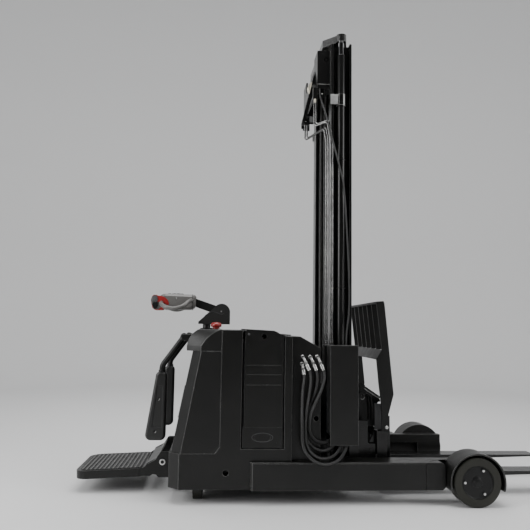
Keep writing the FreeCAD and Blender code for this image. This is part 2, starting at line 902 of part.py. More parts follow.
def platform():
    """Folding deck and the two arms that carry it on the pins."""
    free = -d.half_length - d.pin_x - 2.03
    inner = d.deck_inner - d.pin_x
    deck_top = -34
    deck = leaned("deck", rounded_plan(free, inner, d.deck_half, 65, 30), deck_top - d.deck_thick,
                  deck_top)
    hollow = leaned("deck_hollow", rounded_plan(free + 5, inner - 5, d.deck_half - 5, 60, 25),
                    deck_top - d.deck_thick - 1, deck_top - 5)
    parts = [cut("deck_shell", deck, hollow)]
    for hand, sign in (("left", 1), ("right", -1)):
        low, high = sorted((213 * sign, 225 * sign))
        arm = [
            (d.pin_x - 150, d.pin_z - 80), (d.pin_x - 150, d.pin_z - 44),
            (d.pin_x - 115, d.pin_z - 40), (d.pin_x - 16, d.pin_z + 25),
            (d.pin_x + 16, d.pin_z - 25), (d.pin_x - 68, d.pin_z - 79),
        ]
        plate = prism(f"deck_arm_{hand}", "Y", arm, low, high)
        boss = round_bar(f"deck_boss_{hand}", "Y", (d.pin_x, low, d.pin_z), 30, 12)
        bore = round_bar(f"deck_bore_{hand}", "Y", (d.pin_x, low - 1, d.pin_z), 12.05, 14)
        parts.append(cut(f"deck_cheek_{hand}", fuse(f"deck_link_{hand}", plate, boss), bore))
    return fuse("platform_whole", *parts)


def platform_mat():
    """Standing mat with ribs across the deck."""
    free = -d.half_length - d.pin_x
    inner = d.deck_inner - d.pin_x
    half = d.deck_half - 20
    plan = rounded_plan(free + 22, inner - 8, half, 48, 24)
    base = leaned("mat_base", plan, -34, -31.5)
    ribs = []
    count = 14
    pitch = (inner - 8 - free - 22) / count
    for index in range(count):
        middle = free + 22 + pitch * (index + 0.5)
        strip = [(middle - 7, -half), (middle + 7, -half), (middle + 7, half), (middle - 7, half)]
        ribs.append(leaned(f"mat_rib_{index + 1}", strip, -32, -29.5))
    trim = leaned("mat_trim", plan, -32, -29.5)
    return fuse("platform_mat_whole", base, common("mat_ribs", trim, group("mat_strips", *ribs)))


def guard_arm(name):
    """A right-hand side support: bent tube on a barrel, hanging from the console."""
    y = -d.guard_y.number
    x, z = d.guard_x.number, d.guard_z.number
    bent = tube(f"{name}_tube", [(x, y, z), (x - 115, y, z - 160), (x - 115, y, 640)], 16, 60)
    barrel = round_bar(f"{name}_barrel", "Y", (d.guard_x, y - 18, d.guard_z), 20, 36)
    bore = round_bar(f"{name}_bore", "Y", (d.guard_x, y - 19, d.guard_z), 8.05, 38)
    return cut(f"{name}_whole", fuse(f"{name}_solid", bent, barrel), bore)


def guard_pad(name):
    """A right-hand moulded hip pad, wider towards its lower end, with a sunk channel."""
    def outline(inset):
        e = inset
        return [
            (-970 + e, 640 - e), Bow(-954 + e, 659 - e, 17, -1), (-928 - e, 659 - e),
            Bow(-911 - e, 642 - e, 17, -1), (-911 - e, 312 + e), Bow(-934 - e, 289 + e, 23, -1),
            (-1003 + e, 289 + e), Bow(-1026 + e, 312 + e, 23, -1),
        ]

    pad = cushioned(f"{name}_pad", outline, 21, 9, -d.guard_y)
    socket = round_bar(f"{name}_socket", "Z", (d.guard_x - 115, -d.guard_y, 640), 16, 40)
    channel = [(-961, 585), (-936, 585), (-932, 362), (-985, 362)]
    sunk = prism(f"{name}_channel", "Y", channel, -d.guard_y - 22, -d.guard_y - 18)
    collar = round_bar(f"{name}_collar", "Z", (d.guard_x - 115, -d.guard_y, 655), 20, 12)
    return cut(f"{name}_whole", fuse(f"{name}_solid", pad, collar), socket, sunk)


def stop_button():
    """Mushroom push button on the console."""
    top = d.dash_high
    outline = [
        (0, top), (20, top), (20, top + 13), (27, top + 13), Bow(29, top + 31, 14, 1), (23, top + 38),
        (0, top + 41),
    ]
    return turned("stop_button_whole", "Z", -650, -190, 0, outline)


def tiller_base():
    """Steering column and its cover, slotted for the tiller arm and stepped along a curve."""
    column = round_bar("tiller_column", "Z", (d.steer_x, 0, d.dash_high - 50), 23, 82)
    outline = [
        (-758, 925), (-758, 938), (-659, 1029), Bow(-571, 998, 50, -1), (-571, 925),
    ]
    cover = prism("tiller_cover", "Y", outline, -55, 55)
    lower = [
        (-730, 925), (-730, 950), Bow(-690, 990, 44, -1), (-657, 990), Bow(-620, 980, 60, -1),
        Bow(-571, 985, 60, 1), (-571, 925),
    ]
    step = prism("tiller_step", "Y", lower, -60, 60)
    slot = box("tiller_slot", (-770, -588), (-31, 31), (958, 1060))
    pin = round_bar("tiller_pin", "Y", (d.tiller_x, -40, d.tiller_z), 8, 80)
    hood = cut("tiller_cover_slotted", fuse("tiller_hood", cover, step), slot)
    return fuse("tiller_base_whole", column, hood, pin)


def tiller_arm():
    """Bar from the pin to the head."""
    outline = [
        (-776, 1075), (-658, 1036), (-624, 1024), (-632, 977), (-703, 1001), (-776, 1026),
    ]
    bar = prism("tiller_bar", "Y", outline, -25, 25)
    boss = round_bar("tiller_boss", "Y", (d.tiller_x, -25, d.tiller_z), 25, 50)
    bore = round_bar("tiller_bore", "Y", (d.tiller_x, -26, d.tiller_z), 8.05, 52)
    return cut("tiller_arm_whole", fuse("tiller_arm_solid", bar, boss), bore)


def tiller_head():
    """Control head with a bow grip on each side and two horns that hold the tip."""
    def outline(inset):
        e = inset
        return [
            (-776 - e, 1086 - e), Bow(-790 - e, 1098 - e, 16, 1), (-950, 1102 - e),
            Bow(-1000 + e, 1074, 60, 1), (-1000 + e, 1046), Bow(-951, 1006 + e, 60, 1),
            (-809, 1008 + e), Bow(-776 - e, 1034 + e, 40, 1),
        ]

    parts = [cushioned("tiller_pod", outline, 54, 14)]
    horn = [
        (-985, 1078), (-1006, 1084), (-1034, 1084), (-1042, 1062), (-1036, 1040), (-1024, 1010),
        (-1000, 1006), (-980, 1022),
    ]
    for hand, sign in (("left", 1), ("right", -1)):
        low, high = sorted((36 * sign, 50 * sign))
        parts.append(prism(f"tiller_horn_{hand}", "Y", horn, low, high))
        parts.append(
            tube(f"tiller_grip_{hand}",
                 [(-800, 38 * sign, 1068), (-812, 96 * sign, 1058), (-846, 130 * sign, 1024),
                  (-900, 136 * sign, 1008), (-952, 122 * sign, 1020), (-980, 82 * sign, 1040),
                  (-978, 38 * sign, 1050)], 12)
        )
    return fuse("tiller_head_whole", *parts)


def tiller_controls():
    """Reversing button between the horns, with a rounded belly."""
    outline = [
        (-1003, 1080), (-1034, 1086), Bow(-1043, 1060, 40, 1), (-1040, 1040), Bow(-1010, 1004, 50, 1),
        (-1003, 1004),
    ]
    return prism("tiller_tip", "Y", outline, -35.7, 35.7)


# ---------------------------------------------------------------- reach and mast
def battery():
    """Traction battery as one block."""
    return box("battery_block", (d.tower_front + 6, d.body_front - 56), (-400, 400),
               (d.battery_low, 826))


def reach_cylinder():
    """Barrel of the reach cylinder, open at the gland."""
    length = d.wall_front - d.barrel_rear - 4
    at = (d.barrel_rear, d.reach_y, d.reach_z)
    barrel = round_bar("reach_barrel", "X", at, 30, length)
    bore = round_bar("reach_bore", "X", (d.barrel_rear + 20, d.reach_y, d.reach_z), 22, length - 40)
    gland = round_bar("reach_gland", "X", (d.barrel_rear + 20, d.reach_y, d.reach_z), 17.8, length)
    return cut("reach_cylinder_whole", barrel, bore, gland)


def reach_carriage():
    """Frame under the mast: side plates with rollers in the legs' tracks, beam, feet and rod."""
    parts = [
        box("reach_beam", (d.wall_front + 6, d.rail_rear), (-d.flange_out, d.flange_out), (84, 206)),
    ]
    for hand, sign in (("left", 1), ("right", -1)):
        low, high = sorted((334 * sign, 352 * sign))
        parts.append(box(f"reach_side_{hand}", (d.wall_front + 6, 196), (low, high), (84, 206)))
        low, high = sorted((297 * sign, 352 * sign))
        parts.append(box(f"ram_foot_{hand}", (d.rail_rear + 15, d.rail_front - 15), (low, high),
                         (206, d.ram_low)))
        for place_name, x in (("rear", -42), ("front", 152)):
            low = min(350 * sign, 390 * sign)
            parts.append(round_bar(f"reach_roller_{place_name}_{hand}", "Y", (x, low, 128.5), 35, 40))
    parts.append(box("cover_stay", (85, 137), (-352, -334), (205, 299)))
    rod_rear = d.barrel_rear + 24
    parts.append(
        round_bar("reach_rod", "X", (rod_rear, d.reach_y, d.reach_z), 17.5, d.wall_front + 7 - rod_rear)
    )
    return fuse("reach_carriage_whole", *parts)


def outer_rail(name):
    """A right-hand I-section mast rail."""
    rear, front, flange = d.rail_rear, d.rail_front, d.rail_flange
    inner, outer = -d.flange_in, -d.flange_out
    web_in, web_out = -d.outer_web_y, -d.outer_web_y - d.rail_web
    outline = [
        (rear, outer), (rear + flange, outer), (rear + flange, web_out), (front - flange, web_out),
        (front - flange, outer), (front, outer), (front, inner), (front - flange, inner),
        (front - flange, web_in), (rear + flange, web_in), (rear + flange, inner), (rear, inner),
    ]
    return prism(f"{name}_whole", "Z", outline, d.outer_low, d.outer_high)


def inner_rail(name):
    """A right-hand inner mast rail, its channel open towards the carriage."""
    rear, front = d.inner_rear, d.inner_front
    inner, outer, web = -d.inner_in, -d.inner_out, -d.inner_web_y
    outline = [
        (rear, outer), (front, outer), (front, inner), (front - 11, inner), (front - 11, web),
        (rear + 11, web), (rear + 11, inner), (rear, inner),
    ]
    return prism(f"{name}_whole", "Z", outline, d.inner_low, d.plate_low)


def outer_head():
    """Upper brackets of the outer rails, the ties between them and the hose pulley's arms."""
    rear, seat = -93, d.rail_rear
    parts = [
        box("head_tie", (rear, rear + 12), (-172, 172), (d.head_low + 8, d.head_tie_high)),
        box("anchor_tie", (seat - 30, seat), (-300, 300), (d.chain_anchor - 40, d.chain_anchor + 20)),
    ]
    for sign, hand in ((1, "left"), (-1, "right")):
        low, high = sorted((170 * sign, 300 * sign))
        block = box(f"head_block_{hand}", (rear, seat), (low, high), (d.head_low, d.head_high))
        low, high = sorted((160 * sign, 292 * sign))
        hollow = box(f"head_hollow_{hand}", (rear + 10, seat - 8), (low, high),
                     (d.head_low + 10, d.head_high + 1))
        low = min(286 * sign, 304 * sign)
        hole = round_bar(f"head_hole_{hand}", "Y", (-41, low, 2480), 9, 18)
        parts.append(cut(f"head_bracket_{hand}", block, hollow, hole))
        low, high = sorted((299 * sign, 308 * sign))
        parts.append(box(f"head_ledge_{hand}", (rear, seat), (low, high), (d.head_low - 6, 2324)))
        low, high = sorted((56 * sign, 86 * sign))
        parts.append(box(f"chain_anchor_{hand}", (seat - 1, -3), (low, high),
                         (d.chain_anchor - 26, d.chain_anchor)))
    arm = [
        (-81, 2440), (rear, 2446), (-166, 2140), (-166, 2107), (-128, 2107), (-128, 2124), (-150, 2140),
        (-81, 2380),
    ]
    for place_name, low in (("out", -212), ("in", -152)):
        parts.append(prism(f"pulley_arm_{place_name}", "Y", arm, low, low + 8))
    parts.append(round_bar("arm_foot_pin", "Y", (-147, -212, 2122), 7, 68))
    parts.append(box("foot_block", (-160, -132), (-228, -211), (2107, 2124)))
    parts.append(box("pipe_block", (-118, -90), (-306, -288), (2236, d.head_low + 1)))
    pulley_room = box("pulley_room", (rear - 1, -58), (-201, -155), (2311, 2392))
    pulley_pin = round_bar("pulley_pin", "Y", (-99, -211, 2350), 8, 66)
    opened = cut("head_opened", fuse("head_plates", *parts), pulley_room)
    return fuse("outer_head_whole", opened, pulley_pin)


def inner_head():
    """Top plate that carries the rods' heads and the chain sheaves."""
    plan = [
        (-55, -250), (14, -318), Bow(42, -351, 30, 1), Bow(72, -318, 30, 1), (83, -278),
        (83, 278), (72, 318), Bow(42, 351, 30, 1), Bow(14, 318, 30, 1), (-55, 250),
    ]
    plate = prism("head_plate", "Z", plan, d.plate_low, d.plate_high)
    parts = [plate]
    for sign, hand in ((1, "left"), (-1, "right")):
        for place_name, at in (("in", 50), ("out", 86)):
            low, high = sorted((at * sign, (at + 6) * sign))
            parts.append(box(f"sheave_cheek_{place_name}_{hand}", (0, 60), (low, high),
                             (d.sheave_z - 20, d.plate_low + 1)))
        low = min(50 * sign, 92 * sign)
        parts.append(round_bar(f"sheave_pin_{hand}", "Y", (30, low, d.sheave_z), 9, 42))
    return fuse("inner_head_whole", *parts)


def inner_foot():
    """Lower tie between the inner rails."""
    return box("inner_foot_whole", (d.inner_rear, d.inner_rear + 56), (-d.inner_in, d.inner_in), (90, 140))


def mast_sheaves():
    """Pair of chain sheaves under the top plate, grooved for the chains."""
    parts = []
    for sign, hand in ((1, "left"), (-1, "right")):
        low, high = sorted((59 * sign, 83 * sign))
        outline = [
            (9.05, low), (33, low), (33, low + 2), (30, low + 3), (30, high - 3), (33, high - 2),
            (33, high), (9.05, high),
        ]
        parts.append(turned(f"sheave_{hand}", "Y", 30, 0, d.sheave_z, outline))
    return group("mast_sheaves_whole", *parts)


def chain_pair(name, x, low, high):
    """Two straight leaf chain runs, each link bulging at its pins."""
    pitch = 31.75
    count = int((high - low) / pitch)
    step = (high - low) / count
    parts = []
    for sign, hand in ((1, "left"), (-1, "right")):
        edge = []
        for index in range(count):
            edge.append((10, low + index * step))
            edge.append((7, low + (index + 0.5) * step))
        edge.append((10, high))
        across = [(71 * sign + half, z) for half, z in edge]
        back = [(71 * sign - half, z) for half, z in reversed(edge)]
        corners = [Vector(x - 5, y, z) for y, z in across + back]
        run = doc.addObject("Part::Feature", f"{name}_{hand}")
        run.Shape = Part.Face(Part.makePolygon(corners + corners[:1])).extrude(Vector(10, 0, 0))
        parts.append(run)
    return group(f"{name}_whole", *parts)


def lift_cylinder(name):
    """A right-hand lift cylinder's tube."""
    at = (d.ram_x, -d.ram_y, d.ram_low)
    length = d.tube_high - d.ram_low
    tube_out = round_bar(f"{name}_tube", "Z", at, d.tube_radius, length)
    bore = round_bar(f"{name}_bore", "Z", (d.ram_x, -d.ram_y, d.ram_low + 12), 19.5, length - 42)
    gland = round_bar(f"{name}_gland", "Z", (d.ram_x, -d.ram_y, d.ram_low + 12), 17.8, length)
    return cut(f"{name}_whole", tube_out, bore, gland)


def lift_rods():
    """Both lift cylinder rods, up to the top plate."""
    parts = []
    for sign, hand in ((1, "left"), (-1, "right")):
        at = (d.ram_x, d.ram_y * sign, d.ram_low + 16)
        parts.append(round_bar(f"rod_{hand}", "Z", at, d.rod_radius, d.plate_low - d.ram_low - 16))
    return group("lift_rods_whole", *parts)


def hose_cover():
    """Cover box beside the right-hand rail: hose loops enter below, pipes end on its rear shelf."""
    outer = box("hose_box", (-41, 110), (-470, -357), (300, 820))
    inner = box("hose_box_room", (-38, 107), (-467, -360), (299, 817))
    mouth = box("hose_box_mouth", (-42, -37), (-467, -360), (299, 350))
    arm = box("hose_box_arm", (90, 103), (-358, -d.flange_out), (420, 700))
    shelf = box("pipe_shelf", (-62, -16), (-358, -d.flange_out), (812, 820))
    shell = cut("hose_box_shell", outer, inner, mouth)
    return fuse("hose_cover_whole", shell, arm, shelf)


# ---------------------------------------------------------------- carriage and forks
def lift_carriage():
    """Roller carriage in the inner rails with the lugs that hold the fork carriage."""
    plate = [(8, 150), (110, 150), (110, 480), (79, 600), (8, 600)]
    parts = []
    for hand, sign in (("left", 1), ("right", -1)):
        low, high = sorted((198 * sign, 216 * sign))
        parts.append(prism(f"carriage_side_{hand}", "Y", plate, low, high))
        for place_name, z in (("low", 190), ("high", 560)):
            low = min(215 * sign, 262 * sign)
            parts.append(round_bar(f"carriage_roller_{place_name}_{hand}", "Y", (43.5, low, z), 26, 47))
        low, high = sorted((310 * sign, 326 * sign))
        post = [(109, 170), (152, 170), (236, 214), (236, 286), (194, 286), (194, 408), (109, 408)]
        parts.append(prism(f"carriage_cheek_{hand}", "Y", post, low, high))
        low = min(280 * sign, 330 * sign)
        parts.append(round_bar(f"tilt_pin_{hand}", "Y", (d.tilt_x, low, d.tilt_z), 14, 50))
        low, high = sorted((61 * sign, 81 * sign))
        parts.append(box(f"chain_lug_{hand}", (50, 110), (low, high), (440, 470)))
        ear = [
            (109, 396), (150, 396), (166, 500), (194, 520), (194, 595), (162, 611), (162, 560),
            (128, 505),
        ]
        low, high = sorted((240 * sign, 262 * sign))
        parts.append(prism(f"carriage_ear_{hand}", "Y", ear, low, high))
        low = min(262 * sign, 274 * sign)
        eye = round_bar(f"carriage_eye_{hand}", "Y", (172, low, 540), 18, 12)
        eye_hole = round_bar(f"carriage_eye_hole_{hand}", "Y", (172, low - 1, 540), 7, 14)
        parts.append(cut(f"carriage_eye_bored_{hand}", eye, eye_hole))
    shield = [(188, 574), (282, 514), (277, 500), (188, 556)]
    parts.append(prism("hose_shield", "Y", shield, -262, -240))
    parts.append(box("carriage_bar_low", (108, 130), (-326, 326), (170, 250)))
    parts.append(box("carriage_bar_high", (108, 130), (-326, 326), (328, 408)))
    parts.append(box("carriage_web", (108, 130), (-216, 216), (240, 480)))
    return fuse("lift_carriage_whole", *parts)


def fork_carriage():
    """Bars that carry the forks, joined by end plates and hung on the tilt pins."""
    parts = [
        box("fork_bar_high", (262, d.fork_face - 40), (-334, 334), (300, 355)),
        box("fork_bar_low", (262, d.fork_face - 40), (-334, 334), (100, 150)),
    ]
    end = [(240, 95), (d.fork_face - 40, 95), (d.fork_face - 31, 314), (299, 355), (240, 355)]
    for hand, sign in (("left", 1), ("right", -1)):
        low, high = sorted((333 * sign, 345 * sign))
        plate = prism(f"fork_end_{hand}", "Y", end, low, high)
        parts.append(plate)
        low, high = sorted((284 * sign, 304 * sign))
        lug = prism(f"fork_lug_{hand}", "Y",
                    [(d.tilt_x - 20, 236), (d.tilt_x, 226), (263, 226), (263, 355), (240, 355),
                     (d.tilt_x - 20, 264)], low, high)
        bore = round_bar(f"fork_lug_bore_{hand}", "Y", (d.tilt_x, low - 1, d.tilt_z), 14.05, 22)
        parts.append(cut(f"fork_lug_bored_{hand}", lug, bore))
        low, high = sorted((262 * sign, 300 * sign))
        parts.append(box(f"fork_stay_{hand}", (262, d.fork_face - 44), (low, high), (140, 310)))
    return fuse("fork_carriage_whole", *parts)


def load_backrest():
    """Guard above the forks: shaped posts, two rails and slats on edge."""
    post = [
        (240, 1063), (281, 1066), (286, 1051), (334, 553), (304, 441), (310, 363), (269, 355),
        (267, 456), (262, 523), (252, 605), (239, 746), (270, 797),
    ]
    parts = []
    for hand, sign in (("left", 1), ("right", -1)):
        low, high = sorted((333 * sign, 345 * sign))
        parts.append(prism(f"guard_post_{hand}", "Y", post, low, high))
    parts.append(prism("guard_rail_high", "Y", [(240, 1051), (240, 1063), (281, 1066), (282, 1054)],
                       -334, 334))
    parts.append(prism("guard_rail_low", "Y", [(239, 746), (270, 797), (280, 791), (249, 740)],
                       -334, 334))
    slat = [(240, 1053), (280, 1056), (307, 797), (268, 794)]
    for index in range(-2, 3):
        parts.append(prism(f"guard_slat_{index + 3}", "Y", slat, 113 * index - 5, 113 * index + 5))
    return fuse("load_backrest_whole", *parts)


def fork(name):
    """A right-hand fork: shank, heel and blade that tapers to the tip."""
    face, thick, top = d.fork_face, d.fork_thick, d.fork_top
    outline = [
        (face - thick, top + 300), (face, top + 300), (face, top + 20), Bow(face + 20, top, 20, 1),
        (d.half_length - 5, top), Bow(d.half_length, top - 5, 5, -1),
        Bow(d.half_length - 5, top - 10, 5, -1),
        (900, top - 26), (face + 40, top - thick), (face - thick + 40, top - thick),
        Bow(face - thick, top, 40, -1),
    ]
    profile_side = prism(f"{name}_side", "Y", outline, -d.fork_centre - d.fork_width / 2,
                         -d.fork_centre + d.fork_width / 2)
    return profile_side


# ---------------------------------------------------------------- hoses, pipes and wiring
def hose_fittings():
    """Round unions on the side plate, each with the slanted ferrule that a hose starts from."""
    parts = []
    for index, ((x, z), start) in enumerate(zip(HOSE_UNIONS, HOSE_STARTS)):
        head = round_bar(f"union_{index + 1}", "Y", (x, -474, z), 11, 474 - d.side_plate_y)
        ferrule = slanted_bar(f"ferrule_{index + 1}", (x, HOSE_Y, z), start, 10.5)
        parts.append(fuse(f"fitting_{index + 1}", head, ferrule))
    return group("hose_fittings_whole", *parts)


HOSE_Y = -464
HOSE_UNIONS = [(-189, 720), (-185, 757), (-145, 757), (-107, 758)]
HOSE_STARTS = [(-181, -464, 673), (-156, -464, 695), (-118, -464, 695), (-80, -464, 696)]

# corners of each hose after its ferrule, as (X, Y, Z)
HOSE_RUNS = [
    [(-188, -474, 600), (-194, -492, 490), (-194, -501, 424), (-192, -502, 366), (-190, -503, 306),
     (-162, -504, 253), (-113, -505, 218), (-54, -505, 210), (3, -495, 233), (42, -462, 272),
     (56, -446, 330), (58, -445, 390)],
    [(-151, -476, 574), (-169, -484, 488), (-175, -486, 418), (-174, -486, 361),
     (-172, -488, 311), (-147, -492, 268), (-105, -494, 241), (-55, -492, 238), (-9, -472, 256),
     (20, -450, 294), (30, -443, 345), (31, -442, 396)],
    [(-118, -464, 578), (-147, -458, 496), (-162, -456, 430), (-164, -456, 377),
     (-162, -460, 335), (-141, -466, 299), (-106, -468, 276), (-64, -464, 273), (-27, -452, 289),
     (-2, -443, 324), (5, -441, 365), (6, -440, 407)],
    [(-86, -470, 590), (-125, -480, 515), (-149, -481, 460), (-153, -479, 412),
     (-151, -477, 370), (-129, -470, 334), (-92, -460, 314), (-52, -446, 315), (-20, -427, 333),
     (-7, -414, 368), (-5, -410, 405)],
]


def hoses():
    """Four hoses that hang in loops from the ferrules and rise inside the hose cover."""
    rows = zip(HOSE_UNIONS, HOSE_STARTS, HOSE_RUNS)
    for index, ((union_x, union_z), start, corners) in enumerate(rows):
        x, y, z = start
        lead_out = (x + (x - union_x) / 2, y, z + (z - union_z) / 2)
        node(f"hose_{index + 1}", tube(f"hose_{index + 1}_run", [start, lead_out, *corners], 9.5))


def mast_tubes():
    """Steel pipes down the right-hand rail, their unions, and the strap round each lift cylinder."""
    y = -d.pipe_y.number
    runs = [
        [(-100, -297, 2236), (-100, -297, 2084), (-30, y, 2100), (-8, y, 1960), (-8, y, 822)],
        [(-111, -297, 2236), (-111, -297, 2072), (-41, y, 2089), (-19.5, y, 1950), (-19.5, y, 822)],
        [(-140, -220, 2107), (-140, -220, 2024), (-48, y, 2056), (-36, y, 1985), (-36, y, 822)],
        [(-152, -220, 2107), (-152, -220, 2012), (-60, y, 2044), (-47.5, y, 1975), (-47.5, y, 822)],
    ]
    parts = []
    for index, run in enumerate(runs):
        pipe = tube(f"pipe_{index + 1}", run, 4.5, 16)
        x, start_y, z = run[0]
        union = round_bar(f"pipe_union_{index + 1}", "Z", (x, start_y, z - 28), 5.6, 28)
        foot = round_bar(f"pipe_foot_{index + 1}", "Z", (run[-1][0], y, 820), 5.6, 24)
        parts.append(fuse(f"pipe_run_{index + 1}", pipe, union, foot))
    for sign, hand in ((1, "left"), (-1, "right")):
        at = (d.ram_x, d.ram_y * sign, 2192)
        ring = fuse(f"strap_ring_{hand}", round_bar(f"strap_out_{hand}", "Z", at, 28, 66),
                    box(f"strap_tail_{hand}", (d.rail_rear, d.ram_x),
                        sorted((d.flange_out * sign, (d.flange_out + 4) * sign), key=lambda s: s.number),
                        (2192, 2258)))
        room = round_bar(f"strap_room_{hand}", "Z", (d.ram_x, d.ram_y * sign, 2191), 24.05, 68)
        inside = box(f"strap_open_{hand}", (0, 84),
                     sorted((280 * sign, d.flange_out * sign), key=lambda s: size(s).number),
                     (2191, 2259))
        parts.append(cut(f"strap_{hand}", ring, room, inside))
    return group("mast_tubes_whole", *parts)


def mast_cable():
    """Wiring lead from the upper bracket, slanting over the pipes and cylinder to the hose cover."""
    return tube("mast_lead", [(-80, -303.5, 2297.95), (-80, -303.5, 2262), (-72, -334, 2205),
                              (-54, -354, 2140), (30, -357, 1812), (54, -357, 1722), (72, -356, 1430),
                              (84, -356, 1128), (82, -358, 1000), (68, -370, 912), (61, -384, 862),
                              (61, -384, 820.05)], 5.5)


# ---------------------------------------------------------------- the truck
node("base_frame", base_frame())
node("platform_bracket", platform_bracket())
node("rear_cover", rear_cover())
node("dashboard", dashboard())
node("front_frame", front_frame())
two_sided("leg", leg)
node("battery", battery())
node("reach_cylinder", reach_cylinder())
node("stop_button", stop_button())
node("hose_fittings", hose_fittings())
hoses()

two_sided("load_tyre", load_tyre)
two_sided("load_hub", load_hub)
node("drive_unit", drive_unit())
node("drive_wheel", drive_wheel())
two_sided("caster_fork", caster_fork)
two_sided("caster_wheel", caster_wheel)

two_sided("battery_panel", battery_panel)
node("battery_lid", battery_lid())

node("platform_deck", platform())
node("platform_mat", platform_mat())
two_sided("guard_arm", guard_arm)
two_sided("guard_pad", guard_pad)
node("tiller_base", tiller_base())
node("tiller_arm", tiller_arm())
node("tiller_head", tiller_head())
node("tiller_controls", tiller_controls())

node("reach_carriage", reach_carriage())
two_sided("outer_rail", outer_rail)
node("outer_head", outer_head())
two_sided("lift_cylinder", lift_cylinder)
node("hose_cover", hose_cover())
node("mast_tubes", mast_tubes())
node("mast_cable", mast_cable())
node("fixed_chains", chain_pair("fixed_chain", -9, 640, 2532))

two_sided("inner_rail", inner_rail)
node("inner_head", inner_head())
node("inner_foot", inner_foot())
node("lift_rods", lift_rods())
node("mast_sheaves", mast_sheaves())
node("lifting_chains", chain_pair("lifting_chain", 69, 470, 2532))

node("lift_carriage", lift_carriage())
node("fork_carriage", fork_carriage())
node("load_backrest", load_backrest())
two_sided("fork", fork)

doc.recompute()
for part in doc.Objects:
    if "Invalid" in part.State or "Error" in part.State:
        raise RuntimeError(f"{part.Label} did not build")
os.makedirs("parts", exist_ok=True)
for label, part in NODES.items():
    if part.Shape.isNull() or not part.Shape.isValid() or part.Shape.Volume <= 0:
        raise RuntimeError(f"{label} is not a sound shape")
    part.Shape.exportStep(f"parts/{label}.step")
print(len(NODES), "nodes")
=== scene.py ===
"""Looks for a stand-on reach truck: finishes, hoses, chains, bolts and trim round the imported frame."""
from __future__ import annotations

import json
import logging
import math
from collections.abc import Iterator
from contextlib import contextmanager
from dataclasses import dataclass
from enum import Enum
from functools import cache

import bmesh
import bpy
from mathutils import Matrix, Vector

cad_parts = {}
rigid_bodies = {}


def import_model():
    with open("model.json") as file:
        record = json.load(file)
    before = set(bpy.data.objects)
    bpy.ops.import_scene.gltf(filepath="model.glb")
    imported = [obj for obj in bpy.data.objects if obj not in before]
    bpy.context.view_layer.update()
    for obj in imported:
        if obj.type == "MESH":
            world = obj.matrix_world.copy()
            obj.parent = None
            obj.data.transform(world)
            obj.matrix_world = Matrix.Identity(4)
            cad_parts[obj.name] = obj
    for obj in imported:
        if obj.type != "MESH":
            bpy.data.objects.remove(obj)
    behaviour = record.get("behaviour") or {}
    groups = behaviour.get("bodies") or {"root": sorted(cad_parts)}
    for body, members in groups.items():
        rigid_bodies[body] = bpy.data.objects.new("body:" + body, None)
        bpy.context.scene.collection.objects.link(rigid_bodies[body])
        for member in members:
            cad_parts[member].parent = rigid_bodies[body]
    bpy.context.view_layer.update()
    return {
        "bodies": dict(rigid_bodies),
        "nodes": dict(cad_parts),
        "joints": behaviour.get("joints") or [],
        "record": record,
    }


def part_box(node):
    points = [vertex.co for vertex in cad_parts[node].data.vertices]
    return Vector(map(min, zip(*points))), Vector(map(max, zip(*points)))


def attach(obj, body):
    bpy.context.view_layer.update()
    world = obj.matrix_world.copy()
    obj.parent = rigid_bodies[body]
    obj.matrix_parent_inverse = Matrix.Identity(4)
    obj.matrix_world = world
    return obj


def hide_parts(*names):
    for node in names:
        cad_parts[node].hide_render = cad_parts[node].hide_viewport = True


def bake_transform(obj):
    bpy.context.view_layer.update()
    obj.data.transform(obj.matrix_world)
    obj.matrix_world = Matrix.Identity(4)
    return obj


LOG = logging.getLogger("reach_truck")

Point = tuple[float, float, float]
Colour = tuple[float, float, float]

MM = 0.001
SIDES = {"left": 1, "right": -1}
OUT: Point = (0, -1, 0)
UP: Point = (0, 0, 1)
HEXAGON = 6
# X and Y of the right lift cylinder's axis, in millimetres.
LIFT_CYLINDER = (42, -322)


